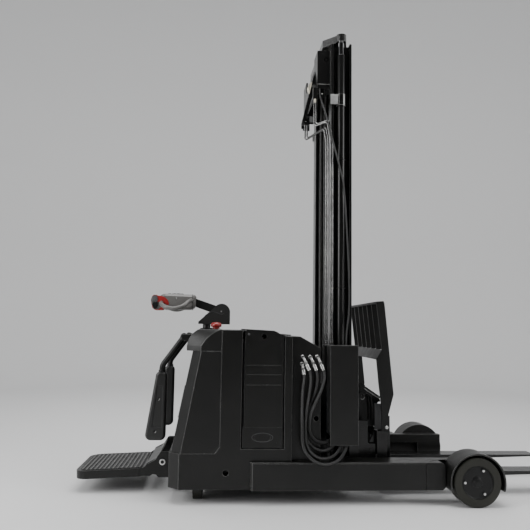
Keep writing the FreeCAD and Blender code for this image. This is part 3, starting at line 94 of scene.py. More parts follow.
# ---------------------------------------------------------------- node graphs
class Graph:
    """A material's node tree with short ways to add textures and feed the surface."""

    def __init__(self, name: str) -> None:
        """Starts an empty material.

        Args:
            name: The material's name.
        """
        self.material = bpy.data.materials.new(name)
        self.material.use_nodes = True
        self.nodes = self.material.node_tree.nodes
        self.links = self.material.node_tree.links
        self.surface = self.nodes["Principled BSDF"]
        self.place = self.nodes.new("ShaderNodeTexCoord").outputs["Object"]

    def set(self, **values: float | Colour) -> None:
        """Sets the surface's own sockets; an underscore stands for a space."""
        for name, value in values.items():
            socket = self.surface.inputs[name.replace("_", " ")]
            socket.default_value = (*value, 1.0) if isinstance(value, tuple) else value

    def stretched(self, scale: Point) -> bpy.types.NodeSocket:
        """Object coordinates scaled along each axis.

        Args:
            scale: Factors along X, Y and Z.

        Returns:
            The scaled coordinates.
        """
        mapping = self.nodes.new("ShaderNodeMapping")
        mapping.inputs["Scale"].default_value = scale
        self.links.new(self.place, mapping.inputs["Vector"])
        return mapping.outputs["Vector"]

    def noise(self, scale: float, detail: float = 3.0, stretch: Point = (1, 1, 1)) -> bpy.types.NodeSocket:
        """Fractal noise over the piece.

        Args:
            scale: Cells in a metre.
            detail: Octaves.
            stretch: Factors along X, Y and Z.

        Returns:
            The noise, about 0.5.
        """
        texture = self.nodes.new("ShaderNodeTexNoise")
        texture.inputs["Scale"].default_value = scale
        texture.inputs["Detail"].default_value = detail
        self.links.new(self.stretched(stretch), texture.inputs["Vector"])
        return texture.outputs[0]

    def cells(self, scale: float) -> bpy.types.NodeSocket:
        """Rounded cells, as in moulded grain.

        Args:
            scale: Cells in a metre.

        Returns:
            The distance to the nearest cell's middle.
        """
        texture = self.nodes.new("ShaderNodeTexVoronoi")
        texture.inputs["Scale"].default_value = scale
        self.links.new(self.place, texture.inputs["Vector"])
        return texture.outputs["Distance"]

    def rings_along(self, pitch: float) -> bpy.types.NodeSocket:
        """Rings round a hose, from its own length attribute.

        Args:
            pitch: Metres from ring to ring.

        Returns:
            A wave from -1 to 1.
        """
        length = self.nodes.new("ShaderNodeAttribute")
        length.attribute_name = "along"
        scaled = self.nodes.new("ShaderNodeMath")
        scaled.operation = "MULTIPLY"
        scaled.inputs[1].default_value = 2 * math.pi / pitch
        wave = self.nodes.new("ShaderNodeMath")
        wave.operation = "SINE"
        self.links.new(length.outputs["Fac"], scaled.inputs[0])
        self.links.new(scaled.outputs["Value"], wave.inputs[0])
        return wave.outputs["Value"]

    def stripes(self, pitch: float, first: float) -> bpy.types.NodeSocket:
        """Even bands across the X axis.

        Args:
            pitch: Metres from band to band.
            first: The X of one band's middle.

        Returns:
            A wave, 1 at the middle of each band and -1 between them.
        """
        parts = self.nodes.new("ShaderNodeSeparateXYZ")
        angle = self.nodes.new("ShaderNodeMath")
        angle.operation = "MULTIPLY_ADD"
        angle.inputs[1].default_value = 2 * math.pi / pitch
        angle.inputs[2].default_value = -2 * math.pi * first / pitch
        wave = self.nodes.new("ShaderNodeMath")
        wave.operation = "COSINE"
        self.links.new(self.place, parts.inputs["Vector"])
        self.links.new(parts.outputs["X"], angle.inputs[0])
        self.links.new(angle.outputs["Value"], wave.inputs[0])
        return wave.outputs["Value"]

    def spread(self, value: bpy.types.NodeSocket, low: float, high: float) -> bpy.types.NodeSocket:
        """A 0.3 to 0.7 value carried to another range.

        Args:
            value: What drives the range.
            low: The result at 0.3.
            high: The result at 0.7.

        Returns:
            The new value.
        """
        node = self.nodes.new("ShaderNodeMapRange")
        node.inputs["From Min"].default_value = 0.3
        node.inputs["From Max"].default_value = 0.7
        node.inputs["To Min"].default_value = low
        node.inputs["To Max"].default_value = high
        self.links.new(value, node.inputs["Value"])
        return node.outputs["Result"]

    def blend_colours(self, value: bpy.types.NodeSocket, first: Colour, second: Colour) -> None:
        """Colours the surface between two tones.

        Args:
            value: 0 for the first tone and 1 for the second.
            first: A linear colour.
            second: A linear colour.
        """
        mix = self.nodes.new("ShaderNodeMix")
        mix.data_type = "RGBA"
        mix.inputs["A"].default_value = (*first, 1.0)
        mix.inputs["B"].default_value = (*second, 1.0)
        self.links.new(value, mix.inputs["Factor"])
        self.links.new(mix.outputs["Result"], self.surface.inputs["Base Color"])

    def rough(self, value: bpy.types.NodeSocket) -> None:
        """Drives the surface's roughness.

        Args:
            value: The roughness.
        """
        self.links.new(value, self.surface.inputs["Roughness"])

    def bump(self, height: bpy.types.NodeSocket, depth: float, strength: float = 1.0) -> None:
        """Raises the surface along a height, over any relief that it has.

        Args:
            height: 0 for low and 1 for high.
            depth: The relief in metres.
            strength: How much of it shows.
        """
        node = self.nodes.new("ShaderNodeBump")
        node.inputs["Distance"].default_value = depth
        node.inputs["Strength"].default_value = strength
        self.links.new(height, node.inputs["Height"])
        earlier = self.surface.inputs["Normal"].links
        if earlier:
            self.links.new(earlier[0].from_socket, node.inputs["Normal"])
        self.links.new(node.outputs["Normal"], self.surface.inputs["Normal"])


@dataclass(frozen=True)
class Finish:
    """What every finish has: two tones that the surface drifts between, and a sheen.

    Attributes:
        tone: The main linear colour.
        drift: The colour of worn, faded or dusty places, and on the ribbed mat the painted highlight on its
            ribs.
        gloss: Lowest and highest roughness.
    """

    tone: Colour
    drift: Colour
    gloss: tuple[float, float]

    def material(self, name: str) -> bpy.types.Material:
        """Builds the finish.

        Args:
            name: The material's name.

        Returns:
            The finished material.
        """
        graph = Graph(name)
        self.paint(graph)
        return graph.material

    def paint(self, graph: Graph) -> None:
        """Feeds the surface.

        Args:
            graph: The material's nodes.
        """
        raise NotImplementedError

    def wear(self, graph: Graph, patches: bpy.types.NodeSocket, smears: bpy.types.NodeSocket) -> None:
        """Drives the colour and the roughness between their ends; on the ribbed mat the colour follows painted
        light, light on the ribs and dark in the grooves.

        Args:
            graph: The material's nodes.
            patches: What the colour follows.
            smears: What the roughness follows.
        """
        graph.blend_colours(graph.spread(patches, 0.0, 1.0), self.tone, self.drift)
        graph.rough(graph.spread(smears, *self.gloss))


@dataclass(frozen=True)
class Coating(Finish):
    """Paint or moulded plastic: a tone that drifts a little, fine grain and a sheen.

    Attributes:
        grain: Cells of the grain in a metre.
        relief: The grain's depth in metres.
        coat: The clear coat's weight.
        specular: The specular level.
        pebbled: Whether the grain is moulded cells rather than fine peel.
    """

    grain: float
    relief: float
    coat: float = 0.0
    specular: float = 0.5
    pebbled: bool = False

    def paint(self, graph: Graph) -> None:
        """Feeds the surface.

        Args:
            graph: The material's nodes.
        """
        graph.set(Coat_Weight=self.coat, Coat_Roughness=0.2, Specular_IOR_Level=self.specular)
        self.wear(graph, graph.noise(7.0, 5.0), graph.noise(23.0, 6.0))
        grain = graph.cells(self.grain) if self.pebbled else graph.noise(self.grain, 2.0)
        graph.bump(grain, self.relief, 0.6)


@dataclass(frozen=True)
class Metal(Finish):
    """Bare, plated or chromed metal with fine lines along one axis.

    Attributes:
        lines: Stretch of the surface's fine lines along X, Y and Z.
    """

    lines: Point = (1, 1, 1)

    def paint(self, graph: Graph) -> None:
        """Feeds the surface.

        Args:
            graph: The material's nodes.
        """
        graph.set(Metallic=1.0)
        self.wear(graph, graph.noise(31.0, 5.0), graph.noise(240.0, 4.0, self.lines))
        graph.bump(graph.noise(420.0, 2.0, self.lines), 0.0001, 0.3)


@dataclass(frozen=True)
class Rubber(Finish):
    """Hose rubber with a fine braid's rings round it.

    Attributes:
        pitch: Metres from ring to ring.
        relief: The rings' depth in metres.
    """

    pitch: float
    relief: float

    def paint(self, graph: Graph) -> None:
        """Feeds the surface.

        Args:
            graph: The material's nodes.
        """
        self.wear(graph, graph.noise(19.0, 5.0), graph.noise(60.0, 4.0))
        graph.bump(graph.rings_along(self.pitch), self.relief, 0.7)


@dataclass(frozen=True)
class RibbedMat(Finish):
    """A rubber standing mat, painted dark in its grooves as shade and light on its ribs as a painted highlight.

    Attributes:
        pitch: Metres from rib to rib.
        first: The X of one rib's middle.
    """

    pitch: float
    first: float

    def paint(self, graph: Graph) -> None:
        """Feeds the surface.

        Args:
            graph: The material's nodes.
        """
        # The stripes are painted light: a painted highlight on the ribs and painted shade in the grooves.
        self.wear(graph, graph.stripes(self.pitch, self.first), graph.noise(31.0, 5.0))
        graph.bump(graph.cells(900.0), 0.0002, 0.5)


class Slot(Enum):
    """The record's material slots with their finishes, and four extra finishes of single parts."""

    body_black = Coating((0.0058, 0.0058, 0.0054), (0.0082, 0.0082, 0.0077), (0.3, 0.4), 900.0, 0.00005,
                         specular=0.3)
    cover_black = Coating((0.0068, 0.0068, 0.0065), (0.0092, 0.0092, 0.0088), (0.34, 0.44), 1400.0, 0.00005,
                          specular=0.3)
    column_grey = Coating((0.017, 0.017, 0.0165), (0.023, 0.023, 0.0225), (0.32, 0.42), 1400.0, 0.00005)
    # A light tone for the big shells' rounded edges: a painted highlight.
    edge_black = Coating((0.034, 0.034, 0.033), (0.055, 0.055, 0.053), (0.2, 0.3), 900.0, 0.00002)
    mast_black = Coating((0.0056, 0.0056, 0.0055), (0.0072, 0.0072, 0.0071), (0.2, 0.27), 400.0, 0.00001,
                         specular=0.38)
    chrome = Metal((0.78, 0.78, 0.79), (0.7, 0.7, 0.71), (0.06, 0.14), (1, 1, 0.05))
    bright_steel = Metal((0.66, 0.66, 0.65), (0.52, 0.52, 0.51), (0.22, 0.36), (1, 1, 0.1))
    strap_steel = Metal((0.84, 0.84, 0.835), (0.7, 0.7, 0.695), (0.38, 0.5), (1, 1, 0.3))
    pipe_steel = Metal((0.24, 0.24, 0.238), (0.14, 0.14, 0.139), (0.18, 0.28), (1, 1, 0.1))
    caster_steel = Metal((0.42, 0.42, 0.41), (0.3, 0.3, 0.29), (0.3, 0.48))
    chain_steel = Metal((0.11, 0.109, 0.107), (0.07, 0.069, 0.068), (0.32, 0.46))
    sheave_tan = Coating((0.66, 0.62, 0.52), (0.58, 0.54, 0.44), (0.38, 0.5), 600.0, 0.0001)
    hose_black = Rubber((0.0035, 0.0035, 0.0035), (0.006, 0.006, 0.0058), (0.27, 0.36), 0.0046, 0.0009)
    grip_grey = Coating((0.094, 0.091, 0.086), (0.115, 0.111, 0.106), (0.26, 0.36), 1800.0, 0.00006)
    signal_red = Coating((0.3, 0.012, 0.012), (0.25, 0.013, 0.013), (0.26, 0.38), 900.0, 0.00006, coat=0.3)
    pad_grey = Coating((0.0085, 0.0085, 0.0082), (0.0125, 0.0125, 0.012), (0.3, 0.4), 700.0, 0.00018,
                       pebbled=True)
    # The mat's dark tone is painted shade in its grooves, its light tone a painted highlight on its ribs.
    mat_grey = RibbedMat((0.006, 0.006, 0.0058), (0.088, 0.088, 0.086), (0.46, 0.62), 0.024, -1.3642)
    tread = Coating((0.0105, 0.0105, 0.0072), (0.0165, 0.0165, 0.0118), (0.44, 0.56), 500.0, 0.0001,
                    specular=0.4)
    hub_dark = Coating((0.005, 0.005, 0.005), (0.0075, 0.0075, 0.0075), (0.3, 0.42), 700.0, 0.00006,
                       specular=0.3)
    cell_grey = Coating((0.04, 0.04, 0.042), (0.06, 0.06, 0.062), (0.45, 0.6), 600.0, 0.0001)


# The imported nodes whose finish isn't their slot's.
NODE_FINISH = {
    "inner_head": Slot.pipe_steel,
    "load_backrest": Slot.cover_black,
    "mast_tubes": Slot.pipe_steel,
    "tiller_arm": Slot.cover_black,
    "tiller_base": Slot.column_grey,
}


@cache
def finish_of(slot: Slot) -> bpy.types.Material:
    """A slot's material, made the first time it is asked for.

    Args:
        slot: The slot or extra finish.

    Returns:
        The one material of that name.
    """
    return slot.value.material(slot.name)


@dataclass(frozen=True)
class EasedEdges:
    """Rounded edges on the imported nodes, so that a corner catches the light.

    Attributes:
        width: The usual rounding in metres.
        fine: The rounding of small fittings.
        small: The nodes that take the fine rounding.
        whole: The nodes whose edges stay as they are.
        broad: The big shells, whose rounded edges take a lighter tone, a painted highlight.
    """

    width: float = 0.0022
    fine: float = 0.0006
    small: tuple[str, ...] = (
        "fixed_chains", "lifting_chains", "mast_tubes", "hose_fittings", "mast_sheaves", "lift_rods",
        "platform_mat", "battery_lid", "battery_panel_left", "battery_panel_right",
    )
    whole: tuple[str, ...] = ("mast_cable", "hose_1", "hose_2", "hose_3", "hose_4")
    broad: tuple[str, ...] = (
        "base_frame", "dashboard", "front_frame", "hose_cover", "leg_left", "leg_right", "rear_cover",
        "battery_panel_left", "battery_panel_right",
    )

    @staticmethod
    def smooth_faces() -> bpy.types.GeometryNodeTree:
        """A node group that shades every face smooth.

        Returns:
            The group.
        """
        tree = bpy.data.node_groups.new("smooth_faces", "GeometryNodeTree")
        tree.interface.new_socket("Geometry", in_out="INPUT", socket_type="NodeSocketGeometry")
        tree.interface.new_socket("Geometry", in_out="OUTPUT", socket_type="NodeSocketGeometry")
        entry = tree.nodes.new("NodeGroupInput")
        shade = tree.nodes.new("GeometryNodeSetShadeSmooth")
        leave = tree.nodes.new("NodeGroupOutput")
        tree.links.new(entry.outputs[0], shade.inputs["Geometry"])
        tree.links.new(shade.outputs["Geometry"], leave.inputs[0])
        return tree

    def dress(self, frame: dict) -> None:
        """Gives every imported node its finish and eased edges.
        """
        smooth = self.smooth_faces()
        for entry in frame["record"]["subparts"]:
            name = entry["node"]
            node = frame["nodes"][name]
            finish = finish_of(NODE_FINISH.get(name, Slot[entry["material_slot"]]))
            for holder in node.material_slots:
                holder.material = finish
            if name not in self.whole:
                # The big shells' rounded edges get a lighter finish: a painted highlight.
                edge = finish_of(Slot.edge_black) if name in self.broad else None
                self.ease(node, self.fine if name in self.small else self.width, smooth, edge)
            LOG.info("%s dressed in %s", name, entry["material_slot"])

    def ease(self, node: bpy.types.Object, width: float, smooth: bpy.types.GeometryNodeTree,
             edge: bpy.types.Material | None) -> None:
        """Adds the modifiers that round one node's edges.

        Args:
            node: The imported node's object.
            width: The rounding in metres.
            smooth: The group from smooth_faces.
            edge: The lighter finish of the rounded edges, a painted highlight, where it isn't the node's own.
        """
        weld = node.modifiers.new("weld", "WELD")
        weld.merge_threshold = 0.00002
        flat = node.modifiers.new("flat", "DECIMATE")
        flat.decimate_type = "DISSOLVE"
        flat.angle_limit = 0.012
        ease = node.modifiers.new("ease", "BEVEL")
        ease.width = width
        if edge:
            node.data.materials.append(edge)
            ease.material = len(node.data.materials) - 1
            ease.use_clamp_overlap = False
        ease.segments = 2
        ease.limit_method = "ANGLE"
        ease.angle_limit = math.radians(34)
        ease.profile = 0.5
        shade = node.modifiers.new("shade", "NODES")
        shade.node_group = smooth
        even = node.modifiers.new("even", "WEIGHTED_NORMAL")
        even.weight = 60


# ---------------------------------------------------------------- mesh making
def swept(route: list[Point], radius: float, sides: int, steps: int) -> bpy.types.Mesh:
    """A round bar along a smooth route, or the route's own line.

    Args:
        route: The points that steer it.
        radius: Its radius, or 0 for the line alone.
        sides: Quarter sides of its round.
        steps: Points from one steering point to the next.

    Returns:
        The mesh.
    """
    curve = bpy.data.curves.new("route", "CURVE")
    curve.dimensions = "3D"
    curve.bevel_depth = radius
    curve.bevel_resolution = sides
    curve.resolution_u = steps
    curve.use_fill_caps = True
    spline = curve.splines.new("NURBS")
    spline.points.add(len(route) - 1)
    for point, corner in zip(spline.points, route):
        point.co = (*corner, 1.0)
    spline.order_u = 3
    spline.use_endpoint_u = True
    holder = bpy.data.objects.new("route", curve)
    mesh = bpy.data.meshes.new_from_object(holder)
    bpy.data.objects.remove(holder)
    bpy.data.curves.remove(curve)
    return mesh


class Mould:
    """One piece under construction, in millimetres, from shapes made with mesh operators."""

    def __init__(self, mesh: bmesh.types.BMesh | None = None) -> None:
        """Starts a piece.

        Args:
            mesh: What it starts from, or nothing for an empty piece.
        """
        self.mesh = bmesh.new() if mesh is None else mesh

    def add(self, part: bmesh.types.BMesh, place: Matrix = Matrix.Identity(4)) -> None:
        """Joins a closed shape to the piece.

        Args:
            part: The shape, which is used up.
            place: Where it goes.
        """
        bmesh.ops.remove_doubles(part, verts=part.verts, dist=0.001)
        bmesh.ops.transform(part, matrix=place, verts=part.verts)
        bmesh.ops.recalc_face_normals(part, faces=part.faces)
        held = bpy.data.meshes.new("part")
        part.to_mesh(held)
        part.free()
        self.mesh.from_mesh(held)
        bpy.data.meshes.remove(held)

    @staticmethod
    def along(start: Point, axis: Point) -> Matrix:
        """A place whose Z runs along an axis.

        Args:
            start: Where it is.
            axis: The way that its Z runs.

        Returns:
            The place.
        """
        return Matrix.Translation(start) @ Vector(axis).to_track_quat("Z", "Y").to_matrix().to_4x4()

    @staticmethod
    def ease(part: bmesh.types.BMesh, edges: list[bmesh.types.BMEdge], offset: float,
             segments: int = 2) -> None:
        """Rounds edges of a shape.

        Args:
            part: The shape.
            edges: The edges to round.
            offset: The rounding.
            segments: Faces across it.
        """
        bmesh.ops.bevel(part, geom=edges, offset=offset, offset_type="OFFSET", segments=segments,
                        profile=0.5, affect="EDGES", material=-1, clamp_overlap=True)

    def block(self, low: Point, high: Point, ease: float = 1.0, place: Matrix = Matrix.Identity(4)) -> None:
        """Adds a block with rounded edges.

        Args:
            low: Its lowest corner.
            high: Its highest corner.
            ease: The rounding.
            place: Where it goes.
        """
        part = bmesh.new()
        made = bmesh.ops.create_cube(part, size=1.0)["verts"]
        bmesh.ops.scale(part, vec=Vector(high) - Vector(low), verts=made)
        bmesh.ops.translate(part, vec=(Vector(high) + Vector(low)) / 2, verts=made)
        if ease:
            self.ease(part, part.edges[:], ease)
        self.add(part, place)

    def rod(self, start: Point, end: Point, radius: float, ease: float = 0.6, sides: int = 28) -> None:
        """Adds a round or many-sided bar.

        Args:
            start: The middle of its first end.
            end: The middle of its last end.
            radius: Its radius.
            ease: The rounding of its rims.
            sides: How many sides it has.
        """
        part = bmesh.new()
        axis = Vector(end) - Vector(start)
        made = bmesh.ops.create_cone(part, cap_ends=True, segments=sides, radius1=radius,
                                     radius2=radius, depth=axis.length)["verts"]
        bmesh.ops.translate(part, vec=(0, 0, axis.length / 2), verts=made)
        if ease:
            rims = [edge for edge in part.edges
                    if abs(edge.verts[0].co.z - edge.verts[1].co.z) < 0.001]
            self.ease(part, rims, ease)
        self.add(part, self.along(start, axis))

    def lathe(self, start: Point, outline: list[tuple[float, float]], steps: int = 40,
              out: Point = OUT) -> None:
        """Adds a turned shape.

        Args:
            start: Where the outline's distances begin on the axis.
            outline: Radius and distance along the axis, from axis to axis or closed on itself.
            steps: Faces round it.
            out: The way that the axis runs.
        """
        part = bmesh.new()
        corners = [part.verts.new((radius, 0.0, away)) for radius, away in outline]
        edges = [part.edges.new(pair) for pair in zip(corners, corners[1:])]
        if outline[0][0] > 0 and outline[-1][0] > 0:
            edges.append(part.edges.new((corners[-1], corners[0])))
        bmesh.ops.spin(part, geom=corners + edges, cent=(0, 0, 0), axis=(0, 0, 1),
                       angle=2 * math.pi, steps=steps, use_merge=True, use_duplicate=False)
        self.add(part, self.along(start, out))

    def plate(self, outline: list[tuple[float, float]], low: float, high: float, ease: float = 0.6,
              place: Matrix = Matrix.Identity(4)) -> None:
        """Adds a flat shape drawn in X and Z, standing between two Y places.

        Args:
            outline: Its corners in order.
            low: Its lowest Y.
            high: Its highest Y.
            ease: The rounding of its edges.
            place: Where it goes.
        """
        part = bmesh.new()
        corners = [part.verts.new((x, low, z)) for x, z in outline]
        face = part.faces.new(corners)
        grown = bmesh.ops.extrude_face_region(part, geom=[face])["geom"]
        far = [item for item in grown if isinstance(item, bmesh.types.BMVert)]
        bmesh.ops.translate(part, vec=(0, high - low, 0), verts=far)
        bmesh.ops.recalc_face_normals(part, faces=part.faces)
        if ease:
            sharp = [edge for edge in part.edges if edge.calc_face_angle(0.0) > 0.6]
            self.ease(part, sharp, ease)
        self.add(part, place)

    def line(self, route: list[Point], radius: float, sides: int = 3) -> None:
        """Adds a round bar along a smooth route.

        Args:
            route: The points that steer it.
            radius: Its radius.
            sides: Quarter sides of its round.
        """
        held = swept(route, radius, sides, 8)
        part = bmesh.new()
        part.from_mesh(held)
        bpy.data.meshes.remove(held)
        self.add(part)

    def screw(self, at: Point, out: Point, radius: float = 5.0, socket: bool = True) -> None:
        """Adds a round screw head with a washer and a hexagon socket.

        Args:
            at: The middle of its seat.
            out: The direction that it stands out in.
            radius: The head's radius.
            socket: Whether it has a sunk hexagon.
        """
        rise = radius * 0.55
        outline = [(0.0, -1.0), (radius * 1.3, -1.0), (radius * 1.3, 0.9), (radius, 1.1),
                   (radius * 0.96, rise * 0.8), (radius * 0.8, rise)]
        if socket:
            outline += [(radius * 0.5, rise), (radius * 0.46, rise * 0.3), (0.0, rise * 0.3)]
        else:
            outline += [(radius * 0.4, rise * 1.15), (0.0, rise * 1.2)]
        self.lathe(at, outline, 18, out)

    def bolt(self, at: Point, out: Point, radius: float = 8.0) -> None:
        """Adds a hexagon bolt head on a washer.

        Args:
            at: The middle of its seat.
            out: The direction that it stands out in.
            radius: Half its width over the corners.
        """
        step = Vector(out).normalized()
        seat = Vector(at)
        self.rod(tuple(seat - step), tuple(seat + step * 1.6), radius * 1.35, 0.4, 24)
        self.rod(tuple(seat + step), tuple(seat + step * (1.6 + radius * 0.65)), radius, 0.7, HEXAGON)

    def finish(self, name: str, body: str, slot: Slot,
               mirror: bool = False) -> bpy.types.Object:
        """Ends the piece: metres, shading, finish and the body that it rides on.

        Args:
            name: The piece's name.
            body: The body.
            slot: Its finish.
            mirror: Whether it goes to the other side of the truck.

        Returns:
            The finished object.
        """
        scale = Matrix.Diagonal((MM, -MM if mirror else MM, MM, 1.0))
        bmesh.ops.transform(self.mesh, matrix=scale, verts=self.mesh.verts)
        if mirror:
            bmesh.ops.reverse_faces(self.mesh, faces=self.mesh.faces)
        for face in self.mesh.faces:
            face.smooth = True
        for edge in self.mesh.edges:
            edge.smooth = edge.calc_face_angle(0.0) < 0.7
        data = bpy.data.meshes.new(name)
        self.mesh.to_mesh(data)
        self.mesh.free()
        data.materials.append(finish_of(slot))
        piece = bpy.data.objects.new(name, data)
        bpy.context.scene.collection.objects.link(piece)
        even = piece.modifiers.new("even", "WEIGHTED_NORMAL")
        even.keep_sharp = True
        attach(piece, body)
        LOG.info("%s has %d faces", name, len(data.polygons))
        return piece


@contextmanager
def single(name: str, body: str, slot: Slot) -> Iterator[Mould]:
    """One piece, drawn inside the with block and finished at its end.

    Args:
        name: The piece's name.
        body: The body that it rides on.
        slot: Its finish.

    Yields:
        The piece to draw in.
    """
    drawn = Mould()
    yield drawn
    drawn.finish(name, body, slot)


@contextmanager
def pair(name: str, body: str, slot: Slot) -> Iterator[Mould]:
    """A right-hand piece, drawn inside the with block, and its mirror image on the left.

    Args:
        name: The pieces' name without the hand.
        body: The body, in which {hand} stands for left or right.
        slot: Their finish.

    Yields:
        The right-hand piece to draw in.
    """
    drawn = Mould()
    yield drawn
    for hand, sign in SIDES.items():
        copy = Mould(drawn.mesh.copy())
        copy.finish(f"{name}_{hand}", body.format(hand=hand), slot, sign > 0)
    drawn.mesh.free()


# ---------------------------------------------------------------- stage
@dataclass(frozen=True)
class Studio:
    """A pale seamless backdrop, soft lights and the camera.

    Attributes:
        eye: The camera's place in metres.
        yaw: Its turn from +Y towards +X.
        pitch: Its tilt above the horizon.
        roll: Its turn about its own line of sight.
        lens: The focal length in millimetres for a 36 mm sensor.
        floor: The flat floor's radius in metres.
        sweep: The radius of the floor's curve up into the wall.
        wall: The wall's height above the curve.
        screen: The dark screen's radius.
        screen_turn: Where the screen starts and how far it runs, as turns about Z from -Y.
        screen_rise: The screen's lower edge and its height.
    """

    eye: Point = (-0.614, -3.643, 0.9047)
    yaw: float = 0.0688
    pitch: float = 0.1052
    roll: float = 0.0151
    lens: float = 40.713
    floor: float = 6.0
    sweep: float = 2.5
    wall: float = 9.0
    screen: float = 5.6
    screen_turn: tuple[float, float] = (-1.3, 2.5)
    screen_rise: tuple[float, float] = (-0.2, 7.6)

    def place_camera(self) -> None:
        """Sets the scene's camera."""
        ahead = Vector((
            math.sin(self.yaw) * math.cos(self.pitch),
            math.cos(self.yaw) * math.cos(self.pitch),
            math.sin(self.pitch),
        ))
        level = Vector((math.cos(self.yaw), -math.sin(self.yaw), 0.0))
        above = level.cross(ahead)
        right = level * math.cos(self.roll) + above * math.sin(self.roll)
        up = above * math.cos(self.roll) - level * math.sin(self.roll)
        data = bpy.data.cameras.new("camera")
        data.lens = self.lens
        data.sensor_width = 36.0
        data.clip_end = 60.0
        camera = bpy.data.objects.new("camera", data)
        bpy.context.scene.collection.objects.link(camera)
        turn = Matrix((right, up, -ahead)).transposed()
        camera.matrix_world = Matrix.Translation(self.eye) @ turn.to_4x4()
        bpy.context.scene.camera = camera

    @staticmethod
    def stand(name: str, finish: str, mesh: bmesh.types.BMesh, tone: float, roughness: float,
              specular: float) -> bpy.types.Object:
        """Puts a surface on the stage, where it is not part of the truck.

        Args:
            name: The surface's name.
            finish: Its material's name.
            mesh: Its mesh, which is used up.
            tone: Its linear grey.
            roughness: Its roughness.
            specular: Its specular level.

        Returns:
            The surface.
        """
        data = bpy.data.meshes.new(name)
        mesh.to_mesh(data)
        mesh.free()
        surface = bpy.data.objects.new(name, data)
        bpy.context.scene.collection.objects.link(surface)
        graph = Graph(finish)
        graph.set(Base_Color=(tone, tone, tone), Roughness=roughness, Specular_IOR_Level=specular)
        data.materials.append(graph.material)
        return surface

    def build_backdrop(self) -> None:
        """Makes the floor, which curves up into a wall on every side."""
        mesh = bmesh.new()
        bmesh.ops.create_circle(mesh, cap_ends=True, radius=self.floor, segments=96)
        rim = [edge for edge in mesh.edges if edge.is_boundary]
        steps = 12
        for step in range(1, steps + 1):
            angle = math.pi / 2 * step / steps
            grown = bmesh.ops.extrude_edge_only(mesh, edges=rim)["geom"]
            rim = [item for item in grown if isinstance(item, bmesh.types.BMEdge)]
            corners = {corner for edge in rim for corner in edge.verts}
            reach = self.floor + self.sweep * math.sin(angle)
            for corner in corners:
                flat = Vector((corner.co.x, corner.co.y, 0.0)).normalized() * reach
                corner.co = (flat.x, flat.y, self.sweep * (1 - math.cos(angle)))
        grown = bmesh.ops.extrude_edge_only(mesh, edges=rim)["geom"]
        top = [item for item in grown if isinstance(item, bmesh.types.BMVert)]
        bmesh.ops.translate(mesh, verts=top, vec=(0.0, 0.0, self.wall))
        self.stand("backdrop", "studio_grey", mesh, 0.68, 0.85, 0.2).data.shade_smooth()

    def build_screen(self) -> None:
        """Makes the dark curved screen that shows only in glossy surfaces, opposite the front light."""
        first, sweep = self.screen_turn
        low, height = self.screen_rise
        mesh = bmesh.new()
        start = mesh.verts.new((self.screen * math.sin(first), -self.screen * math.cos(first), low))
        bmesh.ops.spin(mesh, geom=[start], cent=(0, 0, 0), axis=(0, 0, 1), angle=sweep, steps=40,
                       use_duplicate=False)
        raised = bmesh.ops.extrude_edge_only(mesh, edges=mesh.edges[:])["geom"]
        upper = [item for item in raised if isinstance(item, bmesh.types.BMVert)]
        bmesh.ops.translate(mesh, verts=upper, vec=(0.0, 0.0, height))
        screen = self.stand("screen", "studio_screen", mesh, 0.012, 0.9, 0.1)
        screen.visible_camera = False
        screen.visible_diffuse = False
        screen.visible_shadow = False

    @staticmethod
    def light(name: str, place: Point, aim: Point, size: tuple[float, float], power: float) -> None:
        """Adds one soft rectangular light.

        Args:
            name: The light's name.
            place: Where it hangs.
            aim: The point that it faces.
            size: Its width and height in metres.
            power: Watts.
        """
        data = bpy.data.lights.new(name, "AREA")
        data.shape = "RECTANGLE"
        data.size, data.size_y = size
        data.energy = power
        lamp = bpy.data.objects.new(name, data)
        bpy.context.scene.collection.objects.link(lamp)
        facing = (Vector(aim) - Vector(place)).to_track_quat("-Z", "Y")
        lamp.matrix_world = Matrix.Translation(place) @ facing.to_matrix().to_4x4()

    def build(self) -> None:
        """Sets up the whole stage."""
        self.place_camera()
        self.build_backdrop()
        self.build_screen()
        world = bpy.data.worlds.new("studio")
        world.use_nodes = True
        sky = world.node_tree.nodes["Background"]
        sky.inputs["Color"].default_value = (0.86, 0.87, 0.88, 1.0)
        sky.inputs["Strength"].default_value = 0.8
        bpy.context.scene.world = world
        self.light("overhead", (-0.3, -0.6, 4.6), (-0.2, 0.0, 0.6), (3.6, 2.6), 130.0)
        self.light("left_wash", (-4.2, -2.6, 2.6), (-0.4, 0.0, 0.9), (2.2, 2.6), 110.0)
        self.light("right_wash", (4.2, -2.2, 2.8), (0.2, 0.0, 0.9), (2.0, 2.6), 80.0)
        self.light("wall_wash", (0.0, 1.6, 5.4), (0.0, 8.5, 1.2), (5.0, 1.5), 130.0)
        self.light("left_strip", (-3.4, -1.4, 1.6), (0.0, -0.3, 1.4), (0.25, 2.6), 26.0)
        self.light("right_strip", (2.9, -2.4, 1.8), (0.1, -0.3, 1.5), (0.25, 2.6), 22.0)


